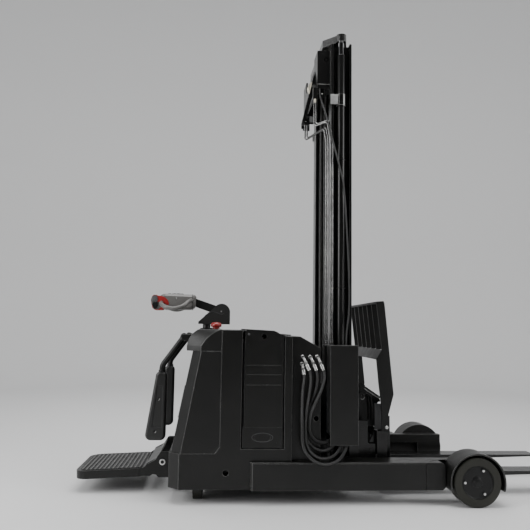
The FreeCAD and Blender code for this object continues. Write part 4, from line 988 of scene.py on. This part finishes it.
# ---------------------------------------------------------------- hoses and wiring
@dataclass(frozen=True)
class Hose:
    """A hose along its own route.

    Attributes:
        name: The piece's name.
        node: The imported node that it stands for.
        body: The body that it rides on.
        route: Its points in metres.
        diameter: In metres.
        length: Its real length in metres.
        far_body: The body that its far end goes into.
    """

    name: str
    node: str
    body: str
    route: list[Point]
    diameter: float
    length: float
    far_body: str | None = None

    def build(self) -> None:
        tube = swept(self.route, self.diameter / 2, 5, 14)
        line = swept(self.route, 0.0, 5, 14)
        path = [tuple(corner.co) for corner in line.vertices]
        bpy.data.meshes.remove(line)
        self.measure(tube, path)
        tube.name = self.name
        tube.shade_smooth()
        tube.materials.clear()
        tube.materials.append(finish_of(Slot.hose_black))
        piece = bpy.data.objects.new(self.name, tube)
        bpy.context.scene.collection.objects.link(piece)
        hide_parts(self.node)
        if self.far_body:
            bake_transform(piece)
        else:
            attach(piece, self.body)
        LOG.info("%s runs %.3f m", self.name, self.length)

    @staticmethod
    def measure(tube: bpy.types.Mesh, path: list[Point]) -> None:
        """Writes how far along the hose each corner of its mesh is.

        Args:
            tube: The hose's mesh.
            path: The points of its middle line.
        """
        middle = [Vector(point) for point in path]
        lengths = [0.0]
        for first, second in zip(middle, middle[1:]):
            lengths.append(lengths[-1] + (second - first).length)
        along = tube.attributes.new("along", "FLOAT", "POINT")
        near = 0
        for corner in tube.vertices:
            window = range(max(0, near - 3), min(len(middle), near + 4))
            near = min(window, key=lambda index: (middle[index] - corner.co).length)
            if (middle[near] - corner.co).length > 0.05:
                near = min(range(len(middle)), key=lambda index: (middle[index] - corner.co).length)
            along.data[corner.index].value = lengths[near]


def millimetres(points: list[Point]) -> list[Point]:
    """Carries points from millimetres to metres.

    Args:
        points: Points in millimetres.

    Returns:
        The same points in metres.
    """
    return [tuple(value * MM for value in point) for point in points]


@dataclass(frozen=True)
class HoseLoops:
    """The four hoses between the side plate and the hose cover, and their fittings.

    Attributes:
        unions: X and Z of each union on the side plate.
        starts: Where each hose leaves its ferrule.
        runs: The points of each hose after its lead-out.
        lengths: Each hose's real length in metres.
        plane: The Y of the unions' middles.
        sleeve: A fitting's outline: radius, share of the way to the hose's start, and millimetres past it.
    """

    unions: tuple[tuple[float, float], ...] = ((-189, 720), (-185, 757), (-145, 757), (-107, 758))
    starts: tuple[Point, ...] = ((-181, -464, 673), (-156, -464, 695), (-118, -464, 695), (-80, -464, 696))
    runs: tuple[tuple[Point, ...], ...] = (
        ((-188, -474, 600), (-194, -492, 490), (-194, -501, 424), (-192, -502, 366), (-190, -503, 306),
         (-162, -504, 253), (-113, -505, 218), (-54, -505, 210), (3, -495, 233), (42, -462, 272),
         (56, -446, 330), (58, -445, 390)),
        ((-151, -476, 574), (-169, -484, 488), (-175, -486, 418), (-174, -486, 361), (-172, -488, 311),
         (-147, -492, 268), (-105, -494, 241), (-55, -492, 238), (-9, -472, 256), (20, -450, 294),
         (30, -443, 345), (31, -442, 396)),
        ((-118, -464, 578), (-147, -458, 496), (-162, -456, 430), (-164, -456, 377), (-162, -460, 335),
         (-141, -466, 299), (-106, -468, 276), (-64, -464, 273), (-27, -452, 289), (-2, -443, 324),
         (5, -441, 365), (6, -440, 407)),
        ((-86, -470, 590), (-125, -480, 515), (-149, -481, 460), (-153, -479, 412), (-151, -477, 370),
         (-129, -470, 334), (-92, -460, 314), (-52, -446, 315), (-20, -427, 333), (-7, -414, 368),
         (-5, -410, 405)),
    )
    lengths: tuple[float, ...] = (0.79, 0.74, 0.66, 0.585)
    plane: float = -464
    sleeve: tuple[tuple[float, float, float], ...] = (
        (0.0, 0.0, 0), (6.6, 0.0, 0), (6.6, 0.34, 0), (8.6, 0.36, 0), (8.6, 0.4, 0), (7.0, 0.42, 0),
        (7.0, 0.62, 0), (9.4, 0.65, 0), (10.0, 0.7, 0), (10.0, 0.82, 0), (9.0, 0.84, 0), (10.0, 0.87, 0),
        (10.0, 0.98, 0), (9.1, 1.0, 0.5), (10.2, 1.0, 2.0), (10.2, 1.0, 6.0), (9.7, 1.0, 7.0), (0.0, 1.0, 7.0),
    )

    def lead_out(self, index: int) -> Point:
        """The point in line with one ferrule that its hose starts towards.

        Args:
            index: Which hose.

        Returns:
            The point in millimetres.
        """
        (union_x, union_z), (x, y, z) = self.unions[index], self.starts[index]
        return (x + (x - union_x) / 2, y, z + (z - union_z) / 2)

    def hoses(self) -> None:
        """Makes the hoses."""
        for index, (start, run) in enumerate(zip(self.starts, self.runs)):
            route = millimetres([start, self.lead_out(index), *run])
            Hose(f"reach_hose_{index + 1}", f"hose_{index + 1}", "chassis", route, 0.019,
                 self.lengths[index], "mast_unit").build()

    def fittings(self) -> None:
        """Makes the elbows, hexagon nuts and crimped sleeves between the side plate and the hoses."""
        metal = Mould()
        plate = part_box("hose_fittings")[1][1] / MM
        depth = plate - self.plane + 10
        for (union_x, union_z), start in zip(self.unions, self.starts):
            metal.lathe((union_x, plate, union_z),
                        [(0.0, 0.0), (9.8, 0.0), (9.8, 4.0), (8.2, 5.5), (8.2, depth - 5), (6.4, depth - 1.4),
                         (0.0, depth)], 28)
            union = Vector((union_x, self.plane, union_z))
            reach = (Vector(start) - union).length
            step = (Vector(start) - union) / reach
            sleeve = [(radius, reach * share + past) for radius, share, past in self.sleeve]
            metal.lathe(tuple(union), sleeve, 28, tuple(step))
            low, high = union + step * (reach * 0.43), union + step * (reach * 0.6)
            metal.rod(tuple(low), tuple(high), 9.6, 0.8, HEXAGON)
        piece = metal.finish("hose_unions", "chassis", Slot.bright_steel)
        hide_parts("hose_fittings")

    def build(self) -> None:
        """Makes the whole set."""
        self.hoses()
        self.fittings()


@dataclass(frozen=True)
class MastWiring:
    """The wiring lead down the mast and the bands that hold it.

    Attributes:
        route: The lead's points in millimetres.
        bands: Heights of the bands round the lift cylinder.
    """

    route: tuple[Point, ...] = (
        (-80, -303.5, 2297.9), (-80, -303.5, 2262), (-72, -334, 2205), (-54, -354, 2140),
        (30, -357, 1812), (54, -357, 1722), (72, -356, 1430), (84, -356, 1128), (82, -358, 1000),
        (68, -370, 912), (61, -384, 862), (61, -384, 820.1),
    )
    bands: tuple[float, ...] = (1871, 1135)

    def build(self) -> None:
        """Makes the lead and its bands."""
        Hose("mast_lead", "mast_cable", "mast_unit", millimetres(list(self.route)), 0.011,
             1.5).build()
        with single("cylinder_bands", "mast_unit", Slot.hub_dark) as bands:
            for height in self.bands:
                bands.lathe((*LIFT_CYLINDER, height), [(24.05, -3), (25.6, -3), (25.6, 3), (24.05, 3)], 40, UP)


# ---------------------------------------------------------------- wheels
@dataclass(frozen=True)
class LoadWheelTrim:
    """Bolts, rim and cap on the load wheels' hubs.

    Attributes:
        axle: The hub's middle on its web.
        circle: The bolts' circle.
        turns: The bolts' angles in degrees from the front, upwards.
    """

    axle: Point = (720, -527, 127)
    circle: float = 67
    turns: tuple[float, ...] = (62, 180, -58)

    def bolt_seats(self) -> list[Point]:
        """Where the bolts sit on the hub.

        Returns:
            The middle of each seat.
        """
        x, y, z = self.axle
        angles = [math.radians(turn) for turn in self.turns]
        return [(x + self.circle * math.cos(angle), y, z + self.circle * math.sin(angle)) for angle in angles]

    def build(self) -> None:
        """Makes both wheels' trim."""
        with pair("load_wheel_rims", "load_wheel_{hand}", Slot.hub_dark) as rims:
            for seat in self.bolt_seats():
                rims.lathe(seat, [(7.0, -1), (12.5, -1), (12.5, 2.4), (11.0, 3.4), (7.0, 3.4)], 28)
            rims.lathe(self.axle, [(24.0, -1), (30.0, -1), (30.0, 2.0), (28.0, 3.5), (24.0, 3.5)])
            rims.lathe(self.axle, [(0.0, 6.0), (17.0, 6.0), (17.0, 8.0), (14.0, 9.0), (0.0, 9.6)])
        with pair("load_wheel_bolts", "load_wheel_{hand}", Slot.bright_steel) as bolts:
            for x, y, z in self.bolt_seats():
                bolts.rod((x, y + 1, z), (x, y - 6, z), 7.6, 1.2, HEXAGON)


@dataclass(frozen=True)
class BaseTrim:
    """The closed nose of each leg behind its load wheel, and a dark disc behind each of the skirt's holes,
    painted shade for the hole's inside.

    Attributes:
        outline: X and Z of the nose seen from the side.
        outer: The Y of its outer face.
        inner: The Y of its inner face.
        backing: The middle of the dark disc behind the skirt's hole, which is painted shade.
    """

    outline: tuple[tuple[float, float], ...] = (
        (464, 77), (552, 77), (566, 88), (570, 104), (570, 196), (564, 210), (550, 217), (464, 217),
    )
    outer: float = -487.5
    inner: float = -412
    backing: Point = (-582, -418, 158)

    def build(self) -> None:
        """Makes both sides' nose, and the dark disc behind the skirt's hole that stands for painted shade."""
        with pair("leg_nose", "chassis", Slot.body_black) as nose:
            nose.plate(list(self.outline), self.outer, self.inner, 5.0)
        # A dark disc behind each skirt hole: painted shade for the hole's inside.
        with pair("skirt_hole_shade", "chassis", Slot.hub_dark) as shade_disc:
            shade_disc.lathe(self.backing, [(0.0, 0.0), (26.0, 0.0), (26.0, 2.0), (0.0, 2.0)], 32)


@dataclass(frozen=True)
class CasterTrim:
    """Nuts on the casters' axles and light hubs in their wheels.

    Attributes:
        axle: The middle of the axle's rear end.
        length: The axle's length.
        inset: How far the wheel's faces lie inside the axle's ends.
    """

    axle: Point = (-765, -324, 50)
    length: float = 76
    inset: float = 13

    def build(self) -> None:
        """Makes both casters' trim."""
        x, y, z = self.axle
        front = x + self.length
        with pair("caster_nuts", "caster_{hand}", Slot.bright_steel) as nuts:
            nuts.rod((x + 1, y, z), (x - 3.5, y, z), 11, 0.8, HEXAGON)
            nuts.rod((front - 1, y, z), (front + 3.5, y, z), 11, 0.8, HEXAGON)
        with pair("caster_hubs", "caster_roll_{hand}", Slot.cell_grey) as hubs:
            for face, out in ((x + self.inset, -1), (front - self.inset, 1)):
                hubs.lathe((face, y, z), [(9.0, -1), (36.0, -1), (36.0, 0.4), (33.0, 1.4), (20.0, 1.0),
                                          (15.0, 2.6), (9.0, 2.6)], out=(out, 0, 0))


# ---------------------------------------------------------------- operator's end
@dataclass(frozen=True)
class PlatformTrim:
    """Washers and plugs on the platform's pins.

    Attributes:
        pin: The middle of the right pin's outer end.
    """

    pin: Point = (-925, -249, 171)

    def build(self) -> None:
        """Makes both sides' washers and plugs."""
        x, y, z = self.pin
        with pair("platform_washer", "chassis", Slot.bright_steel) as washer:
            washer.lathe(self.pin, [(9.5, -0.5), (16.4, -0.5), (16.4, 1.2), (15.4, 2.0), (9.5, 2.0)])
        with pair("platform_plug", "chassis", Slot.hub_dark) as plug:
            plug.rod((x, y + 0.5, z), (x, y - 4, z), 9.8, 1.0, HEXAGON)


@dataclass(frozen=True)
class GuardPad:
    """A moulded hip pad with a sunk channel on its outer face.

    Attributes:
        corners: The pad's corners in X and Z with their rounding.
        channel: The sunk channel's corners.
        crown: Inset and depth of each ring from a face round to the pad's edge.
        sink: Inset and depth of each ring down into the channel.
        screws: X and Z of each screw on the outer face, and how far it is sunk.
        middle: The pad's Y.
        half: Half its thickness.
        around: Points round each ring of the mesh.
    """

    corners: tuple[tuple[float, float, float], ...] = (
        (-971, 659, 22), (-911, 659, 22), (-911, 289, 30), (-1027, 289, 30),
    )
    channel: tuple[tuple[float, float, float], ...] = (
        (-961, 585, 6), (-936, 585, 6), (-932, 362, 6), (-985, 362, 6),
    )
    crown: tuple[tuple[float, float], ...] = ((11, 0.9), (6.5, 3.2), (3, 6.6), (0.8, 11.5), (0, 17))
    sink: tuple[tuple[float, float], ...] = ((-2.5, 0), (-1.0, 0.8), (0, 2.8), (3, 3.4))
    screws: tuple[tuple[float, float, float], ...] = ((-955, 513, 3.0), (-970, 339, 0))
    middle: float = -258
    half: float = 21
    around: int = 96

    def ring(self, corners: tuple[tuple[float, float, float], ...], inset: float) -> list[tuple[float, float]]:
        """Evenly turned points round a shape with rounded corners.

        Args:
            corners: X, Z and rounding of each corner, in clockwise order seen from the right.
            inset: How far inside the outline the ring runs.

        Returns:
            X and Z of each point.
        """
        count = len(corners)
        share = self.around // count
        bend = share // 2
        arcs = []
        for index, corner in enumerate(corners):
            here, rounding = Vector(corner[:2]), corner[2]
            before = (Vector(corners[index - 1][:2]) - here).normalized()
            after = (Vector(corners[(index + 1) % count][:2]) - here).normalized()
            opening = before.angle(after) / 2
            centre = here + (before + after).normalized() * rounding / math.sin(opening)
            reach = rounding / math.tan(opening)
            first = (here + before * reach - centre).normalized()
            last = (here + after * reach - centre).normalized()
            arcs.append([centre + first.slerp(last, step / (bend - 1)) * (rounding - inset)
                         for step in range(bend)])
        points = []
        gap = share - bend
        for arc, following in zip(arcs, arcs[1:] + arcs[:1]):
            points.extend(arc)
            points.extend(arc[-1].lerp(following[0], step / (gap + 1)) for step in range(1, gap + 1))
        return [(point.x, point.y) for point in points]

    def shell(self) -> bmesh.types.BMesh:
        """The pad's closed surface, bridged ring by ring from its inner face to the channel's floor.

        Returns:
            The surface.
        """
        rings = [(self.ring(self.corners, 15), self.half)]
        rings += [(self.ring(self.corners, inset), self.half - depth) for inset, depth in self.crown]
        rings += [(self.ring(self.corners, inset), depth - self.half) for inset, depth in reversed(self.crown)]
        rings += [(self.ring(self.corners, 14), -self.half)]
        rings += [(self.ring(self.channel, inset), depth - self.half) for inset, depth in self.sink]
        part = bmesh.new()
        loops = []
        for outline, y in rings:
            corners = [part.verts.new((x, self.middle + y, z)) for x, z in outline]
            loops.append([part.edges.new((corners[index - 1], corner)) for index, corner in enumerate(corners)])
        for first, second in zip(loops, loops[1:]):
            bmesh.ops.bridge_loops(part, edges=first + second)
        for loop in (loops[0], loops[-1]):
            bmesh.ops.edgeloop_fill(part, edges=loop)
        return part

    def build(self) -> None:
        """Makes both pads, their collars and their screws."""
        for hand, sign in SIDES.items():
            pad = Mould()
            pad.add(self.shell())
            piece = pad.finish(f"guard_cushion_{hand}", f"side_guard_{hand}", Slot.pad_grey, sign > 0)
            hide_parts(f"guard_pad_{hand}")
        with pair("guard_collar", "side_guard_{hand}", Slot.hub_dark) as collar:
            collar.rod((-941, self.middle, 655), (-941, self.middle, 668), 20, 2.0, 32)
        face = self.middle - self.half
        with pair("guard_screws", "side_guard_{hand}", Slot.bright_steel) as screws:
            for x, z, depth in self.screws:
                turns = [math.radians(20 - 22 * step) for step in range(6)]
                screws.line([(x + 7.6 * math.cos(turn), face + depth - 0.6, z + 7.6 * math.sin(turn))
                             for turn in turns], 1.3, 2)
        with pair("guard_sockets", "side_guard_{hand}", Slot.hub_dark) as sockets:
            for x, z, depth in self.screws:
                sockets.lathe((x, face + depth, z), [(0.0, -1), (8.4, -1), (8.4, 0.3), (7.4, 0.9), (6.2, 0.2),
                                                     (0.0, 0.1)], 24)


@dataclass(frozen=True)
class ControlHeadTrim:
    """Rockers, reversing arc, display, keys and screws on the tiller's head.

    Attributes:
        arc: X and Z of the red arc on the head's side.
        back: X and Z of the red plate under the rocker.
        rocker: X and Z of the speed rocker.
        cheek: X and Z of the dark cheek below it.
        seam: Y and Z of the right half of the seam round the head, from its top.
        seam_x: Where the seam runs round.
    """

    arc: tuple[tuple[float, float], ...] = (
        (-1004, 1089), (-978, 1087), (-956, 1077), (-941, 1062), (-934, 1045), (-936, 1033), (-948, 1034),
        (-962, 1044), (-982, 1050), (-1004, 1050),
    )
    back: tuple[tuple[float, float], ...] = (
        (-1040, 1066), (-1037, 1084), (-1026, 1094), (-1004, 1093), (-996, 1060), (-990, 1030), (-964, 1016),
        (-974, 1004), (-1016, 1003), (-1033, 1016),
    )
    rocker: tuple[tuple[float, float], ...] = (
        (-1031, 1084), (-1019, 1091), (-1005, 1088), (-999, 1062), (-1006, 1049), (-1028, 1053),
    )
    cheek: tuple[tuple[float, float], ...] = (
        (-1029, 1048), (-1004, 1048), (-999, 1028), (-1006, 1011), (-1020, 1010), (-1032, 1030),
    )
    seam: tuple[tuple[float, float], ...] = (
        (-40, 1098.4), (-53.8, 1084.5), (-54.2, 1068), (-54.2, 1036), (-53.8, 1022), (-40, 1008.2),
    )
    seam_x: float = -796

    def sides(self) -> None:
        """Makes the trim of both sides."""
        with pair("reversing_arc", "tiller", Slot.signal_red) as arc:
            arc.plate(list(self.arc), -57, -48, 2.4)
            arc.plate(list(self.back), -47, -39, 2.4)
        with pair("speed_rocker", "tiller", Slot.cell_grey) as rocker:
            rocker.plate(list(self.rocker), -64, -49, 3.0)
            rocker.rod((-1015, -49, 1066), (-1015, -66, 1066), 7, 2.0, 24)
        with pair("rocker_cheek", "tiller", Slot.cover_black) as cheek:
            cheek.plate(list(self.cheek), -56, -49, 1.6)
        with pair("head_screws", "tiller", Slot.bright_steel) as screws:
            screws.screw((-892, -53.6, 1074), OUT, 3.6)

    def top(self) -> None:
        """Makes the seam, and the panel with its keys and display."""
        loop = list(self.seam) + [(-y, z) for y, z in reversed(self.seam)]
        with single("head_seam", "tiller", Slot.hub_dark) as seam:
            seam.line([(self.seam_x, y, z) for y, z in loop + loop[:1]], 2.0, 2)
        with single("head_panel", "tiller", Slot.cover_black) as panel:
            panel.block((-922, -29, 1098), (-852, 29, 1103.4), 1.2)
        with single("head_keys", "tiller", Slot.cell_grey) as keys:
            for x in (-912, -890):
                for y in (-16, 0, 16):
                    keys.block((x, y - 6, 1101), (x + 14, y + 6, 1105.2), 1.2)
            keys.rod((-936, 0, 1096), (-936, 0, 1106), 9, 1.6, 28)
        with single("head_screen", "tiller", Slot.mast_black) as screen:
            screen.block((-870, -20, 1101), (-855, 20, 1104.2), 0.8)

    def build(self) -> None:
        """Makes the whole set."""
        self.sides()
        self.top()


@dataclass(frozen=True)
class ColumnTrim:
    """Pivot screws and creases on the steering column's cover, and the ring round the column.

    Attributes:
        pivot: The middle of the pivot screw's seat.
        crease: The points of the crease along the cover's side.
        foot: Where the column leaves the console.
    """

    pivot: Point = (-623, -55, 1000)
    crease: tuple[Point, ...] = (
        (-706, -60.2, 990), (-690, -60.4, 995), (-668, -60.4, 997), (-646, -60.4, 991), (-632, -60.4, 984),
        (-618, -60.4, 983), (-606, -60.2, 989),
    )
    foot: Point = (-710, 0, 895)

    def build(self) -> None:
        """Makes both sides' screws and creases and the ring."""
        with pair("column_screw", "tiller_column", Slot.bright_steel) as screws:
            screws.screw(self.pivot, OUT, 3.0, False)
        # The crease is a light grey line on the darker cover: a painted highlight along its edge.
        with pair("column_crease", "tiller_column", Slot.cell_grey) as crease:
            crease.line(list(self.crease), 1.3, 2)
        with single("column_ring", "chassis", Slot.hub_dark) as ring:
            ring.lathe(self.foot, [(27.5, -1), (40, -1), (40, 3), (36, 6), (27.5, 6)], out=UP)


@dataclass(frozen=True)
class ConsoleTrim:
    """Charge gauge, key switch, stop button's collar and screws on the console.

    Attributes:
        top: The console's height.
    """

    top: float = 895

    def build(self) -> None:
        """Makes the trim."""
        top = self.top
        with single("console_trim", "chassis", Slot.hub_dark) as dark:
            dark.lathe((-650, -190, top), [(20.2, -1), (27, -1), (27, 2.2), (24, 3.6), (20.2, 3.6)], out=UP)
            dark.block((-694, 176, top - 2), (-634, 262, top + 7), 2.0)
            dark.lathe((-664, 310, top), [(0.0, -1), (17, -1), (17, 3), (14, 6), (9, 6), (8, 4), (0.0, 4)],
                       out=UP)
        with single("gauge_glass", "chassis", Slot.mast_black) as glass:
            glass.block((-686, 184, top + 5), (-642, 254, top + 7.8), 0.8)
        with single("console_metal", "chassis", Slot.bright_steel) as metal:
            metal.block((-667, 308.6, top + 3), (-661, 311.4, top + 26), 0.8)
            metal.rod((-664, 308, top + 26), (-664, 312, top + 26), 9, 0.8, 24)
            for y in (430, -430, 60, -60):
                metal.screw((-630, y, top), UP, 4.0)


# ---------------------------------------------------------------- battery compartment
@dataclass(frozen=True)
class BatteryTrim:
    """Screws, rims and pressings on the lift-off panels, and the cells under the lid.

    Attributes:
        face: The Y of the right panel's outer face.
        screws: X and Z of each screw on a panel.
        hole: X and Z of the finger hole.
        boss: X and Z of the small raised boss.
        oval: X and Z of the pressed oval's middle.
        oval_half: Half its length and half its height.
        corner: X and Y of the first cell's corner.
        cell: A cell's pitch along X and Y.
        rows: Cells along X.
        columns: Cells along Y.
    """

    face: float = -465
    screws: tuple[tuple[float, float], ...] = ((-476, 818), (-304, 818), (-467, 311), (-324, 311))
    hole: tuple[float, float] = (-392, 862)
    boss: tuple[float, float] = (-474, 873)
    oval: tuple[float, float] = (-395, 341)
    oval_half: tuple[float, float] = (55, 23)
    corner: tuple[float, float] = (-498, -396)
    cell: tuple[float, float] = (100, 132)
    rows: int = 2
    columns: int = 6

    def on_face(self, place: tuple[float, float]) -> Point:
        """A point on the right panel's outer face.

        Args:
            place: Its X and Z.

        Returns:
            The point.
        """
        return (place[0], self.face, place[1])

    def panels(self) -> None:
        """Makes the screws, the finger hole's rim and the pressings on both panels, with the pressed oval drawn
        as a light line, a painted highlight on its edge.
        """
        with pair("panel_screws", "panel_{hand}", Slot.hub_dark) as metal:
            for place in self.screws:
                metal.screw(self.on_face(place), OUT, 3.4)
        with pair("panel_hole_rim", "panel_{hand}", Slot.cover_black) as rim:
            rim.lathe(self.on_face(self.hole), [(13.2, -8), (14.6, -8), (14.6, -0.5), (16.0, -0.5), (16.0, 0.5),
                                                (15.4, 0.9), (13.2, 0.5)])
        with pair("panel_press", "panel_{hand}", Slot.cell_grey) as press:
            press.lathe(self.on_face(self.boss), [(0.0, -1), (6.5, -1), (6.5, 1.4), (5.4, 2.2), (0.0, 2.4)], 24)
            # The oval is a thin light grey line on the panel: a painted highlight on the pressing's edge.
            (x, z), (half_x, half_z) = self.oval, self.oval_half
            turns = [math.pi * step / 18 for step in range(38)]
            press.line([(x + half_x * math.cos(turn), self.face - 0.2, z + half_z * math.sin(turn))
                        for turn in turns], 0.9, 1)

    def cells(self) -> None:
        """Makes the battery's cell tops, plugs and connecting bars."""
        grid = [(self.corner[0] + row * self.cell[0], self.corner[1] + column * self.cell[1])
                for row in range(self.rows) for column in range(self.columns)]
        with single("battery_cells", "chassis", Slot.cell_grey) as tops:
            for x, y in grid:
                tops.block((x + 2, y + 2, 824), (x + 98, y + 130, 834), 3.0)
        with single("battery_plugs", "chassis", Slot.sheave_tan) as plugs:
            for x, y in grid:
                plugs.rod((x + 50, y + 66, 833), (x + 50, y + 66, 843), 15, 2.0, 24)
        last = self.corner[1] + (self.columns - 1) * self.cell[1]
        with single("battery_bars", "chassis", Slot.chain_steel) as bars:
            for x, y in grid:
                for pole in (y + 26, y + 106):
                    bars.rod((x + 50, pole, 833), (x + 50, pole, 840), 9, 1.0, 20)
                if y < last:
                    bars.block((x + 42, y + 98, 838), (x + 58, y + 166, 843), 1.2)

    def build(self) -> None:
        """Makes the whole set."""
        self.panels()
        self.cells()


# ---------------------------------------------------------------- mast and forks
@dataclass(frozen=True)
class MastTrim:
    """Hose pulley, connectors, screws, straps, seals and chain anchors on the mast.

    Attributes:
        pulley_at: X and Z of the pulley's axle.
        pulley_rim: Radius and distance of the pulley's outline.
        anchor_y: The chains' distance from the truck's middle.
    """

    pulley_at: tuple[float, float] = (-99, 2350)
    pulley_rim: tuple[tuple[float, float], ...] = (
        (8.1, -22), (15, -22), (15, -18), (26, -17), (30, -20), (34, -20), (34, -16), (28, -9), (26, 0),
        (28, 9), (34, 16), (34, 20), (30, 20), (26, 17), (15, 18), (15, 22), (8.1, 22),
    )
    anchor_y: float = 71

    def pulley(self) -> None:
        """Makes the hose pulley between its arms."""
        x, z = self.pulley_at
        with single("hose_pulley", "mast_unit", Slot.sheave_tan) as wheel:
            wheel.lathe((x, -178, z), list(self.pulley_rim), 48, (0, 1, 0))
        with single("pulley_bolts", "mast_unit", Slot.bright_steel) as heads:
            for y, out in ((-211.5, -1), (-144.5, 1)):
                heads.bolt((x, y, z), (0, out, 0), 8)
                heads.screw((-147, y, 2124), (0, out, 0), 6.0, False)

    def brackets(self) -> None:
        """Makes the plates, screws and straps at the head brackets, thin light strips along the ledges' edges
        as a painted highlight, and the one connector.
        """
        with pair("connector_plate", "mast_unit", Slot.mast_black) as plate:
            plate.block((-98, -298, 2246), (-52, -291, 2306), 1.0)
            plate.lathe((-41, -298, 2480), [(0.0, 0.0), (13, 0.0), (13, 2), (0.0, 2)], 24)
        with single("connector", "mast_unit", Slot.sheave_tan) as white:
            white.block((-113, -309, 2214), (-101, -300, 2236), 2.0)
        with pair("mast_screws", "mast_unit", Slot.bright_steel) as screws:
            for x in (-92, -64):
                screws.screw((x, -298, 2270), OUT, 4.0, False)
            for z in (2242, 2208):
                screws.bolt((-4, -338, z), OUT, 6.0)
        with pair("cylinder_strap", "mast_unit", Slot.strap_steel) as strap:
            strap.lathe((*LIFT_CYLINDER, 2191), [(24.3, 0), (26.8, 0), (26.8, 58), (24.3, 58)], 48, UP)
            strap.block((-24, -353.4, 2191), (18, -350.2, 2249), 1.2)
        # Thin light steel strips along the ledge's top edge and the bracket's side edge: a painted highlight.
        with pair("bracket_edge_highlight", "mast_unit", Slot.caster_steel) as highlight_strip:
            highlight_strip.block((-93, -310.5, 2322), (-18, -308.2, 2326.5), 0.6)
            highlight_strip.block((-20, -310.5, 2300), (-17, -308.2, 2530), 0.6)

    def seals(self) -> None:
        """Makes the seal head on each lift cylinder."""
        with pair("rod_seal", "mast_unit", Slot.hub_dark) as seal:
            seal.lathe((*LIFT_CYLINDER, 2494), [(17.7, -2), (23.6, -2), (23.6, 1.6), (21.8, 3.2), (19.0, 3.2),
                                                (17.7, 2.2)], out=UP)

    def anchors(self) -> None:
        """Makes the chains' threaded anchors with their nuts."""
        kinds = (
            ("fixed_chain_anchors", "mast_unit", -10, (578, 616), ((603, 614.5), (592, 602))),
            ("lifting_chain_anchors", "carriage", 69, (402, 441), ((430, 440.5), (419, 429))),
        )
        for name, body, x, (foot, head), nuts in kinds:
            with single(name, body, Slot.bright_steel) as anchor:
                for y in (self.anchor_y, -self.anchor_y):
                    anchor.rod((x, y, foot), (x, y, head), 5.5, 0.6, 20)
                    for low, high in nuts:
                        anchor.rod((x, y, low), (x, y, high), 9.5, 1.0, HEXAGON)

    def build(self) -> None:
        """Makes the whole set."""
        self.pulley()
        self.brackets()
        self.seals()
        self.anchors()


@dataclass(frozen=True)
class CarriageTrim:
    """Link track, shields, eyes, braces, pipes and pin ends on the lift and fork carriages.

    Attributes:
        track_start: Where the link track begins.
        track_end: Where it ends.
        links: How many links it has.
        shield: X and Z of the side shields.
        brace: X and Z of the load backrest's braces.
    """

    track_start: Point = (193, -251, 578)
    track_end: Point = (279, -251, 521)
    links: int = 10
    shield: tuple[tuple[float, float], ...] = (
        (150, 600), (186, 592), (190, 560), (276, 504), (268, 494), (266, 368), (150, 368),
    )
    brace: tuple[tuple[float, float], ...] = ((240, 358), (292, 358), (286, 497), (238, 497))

    def track(self) -> None:
        """Makes the link track and the bed that it lies on."""
        start, run = Vector(self.track_start), Vector(self.track_end) - Vector(self.track_start)
        lean = Vector((1, 0, 0)).rotation_difference(run).to_matrix().to_4x4()
        with single("hose_track", "carriage", Slot.hub_dark) as links:
            for index in range(self.links):
                low = start + run * (index / self.links)
                links.block((0, -10, 0), (8.4, 10, 10.5), 1.2, Matrix.Translation(low) @ lean)
        with single("hose_track_bed", "carriage", Slot.caster_steel) as bed:
            bed.block((-4, -11, -5), (run.length, 11, -0.5), 0.8, Matrix.Translation(start) @ lean)

    def shields(self) -> None:
        """Makes the side shields with their hoses, the eyes and the backrest's braces."""
        with pair("carriage_shield", "carriage", Slot.hub_dark) as shield:
            shield.plate(list(self.shield), -248, -240, 1.5)
            for x in (216, 232):
                shield.line([(x - 6, -254, 536), (x - 2, -256, 500), (x + 4, -256, 450), (x + 1, -254, 404)],
                            6.5)
        with pair("carriage_eye", "carriage", Slot.caster_steel) as eye:
            eye.lathe((178, -260, 527), [(8.5, -13), (13.5, -13), (13.5, 3), (12.0, 5), (9.5, 5), (8.5, 3)], 28)
        # The braces take a lighter grey than the backrest's black: a painted highlight standing in for the
        # light on them.
        with pair("backrest_brace", "fork_frame", Slot.cell_grey) as brace:
            brace.plate(list(self.brace), -300, -286, 1.5)

    def fittings(self) -> None:
        """Makes the short bright pipes, the backrest's pin ends and the forks' latches; the pipes' bright steel
        is a painted highlight along two hoses.
        """
        # Bright steel here is a painted highlight: the light along two hoses, drawn as bright pipes.
        with single("carriage_pipes", "carriage", Slot.bright_steel) as pipes:
            for shift in (0, 15):
                pipes.line([(140, -236 - shift, 262 - shift), (172, -238 - shift, 264 - shift),
                            (196, -240 - shift, 250 - shift), (210, -242 - shift, 228 - shift),
                            (212, -243 - shift, 204 - shift / 2)], 5.0)
        with pair("guard_pin_end", "fork_frame", Slot.bright_steel) as pins:
            pins.lathe((294, -345, 375), [(0.0, -1), (9.5, -1), (9.5, 2.5), (8.0, 4.0), (0.0, 4.4)], 28)
        with pair("fork_latch", "fork_frame", Slot.mast_black) as latch:
            latch.block((296, -232, 427), (322, -208, 436), 1.6)
            latch.rod((309, -220, 434), (309, -220, 446), 7, 1.0, 24)

    def build(self) -> None:
        """Makes the whole set."""
        self.track()
        self.shields()
        self.fittings()


# ---------------------------------------------------------------- the whole truck
def main() -> None:
    """Builds every piece."""
    logging.basicConfig(level=logging.INFO, format="%(name)s: %(message)s")
    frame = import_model()
    Studio().build()
    HoseLoops().build()
    MastWiring().build()
    EasedEdges().dress(frame)
    for trim in (GuardPad(), LoadWheelTrim(), BaseTrim(), CasterTrim(), PlatformTrim(), ControlHeadTrim(),
                 ColumnTrim(), ConsoleTrim(), BatteryTrim(), MastTrim(), CarriageTrim()):
        trim.build()


if __name__ == "__main__":
    main()
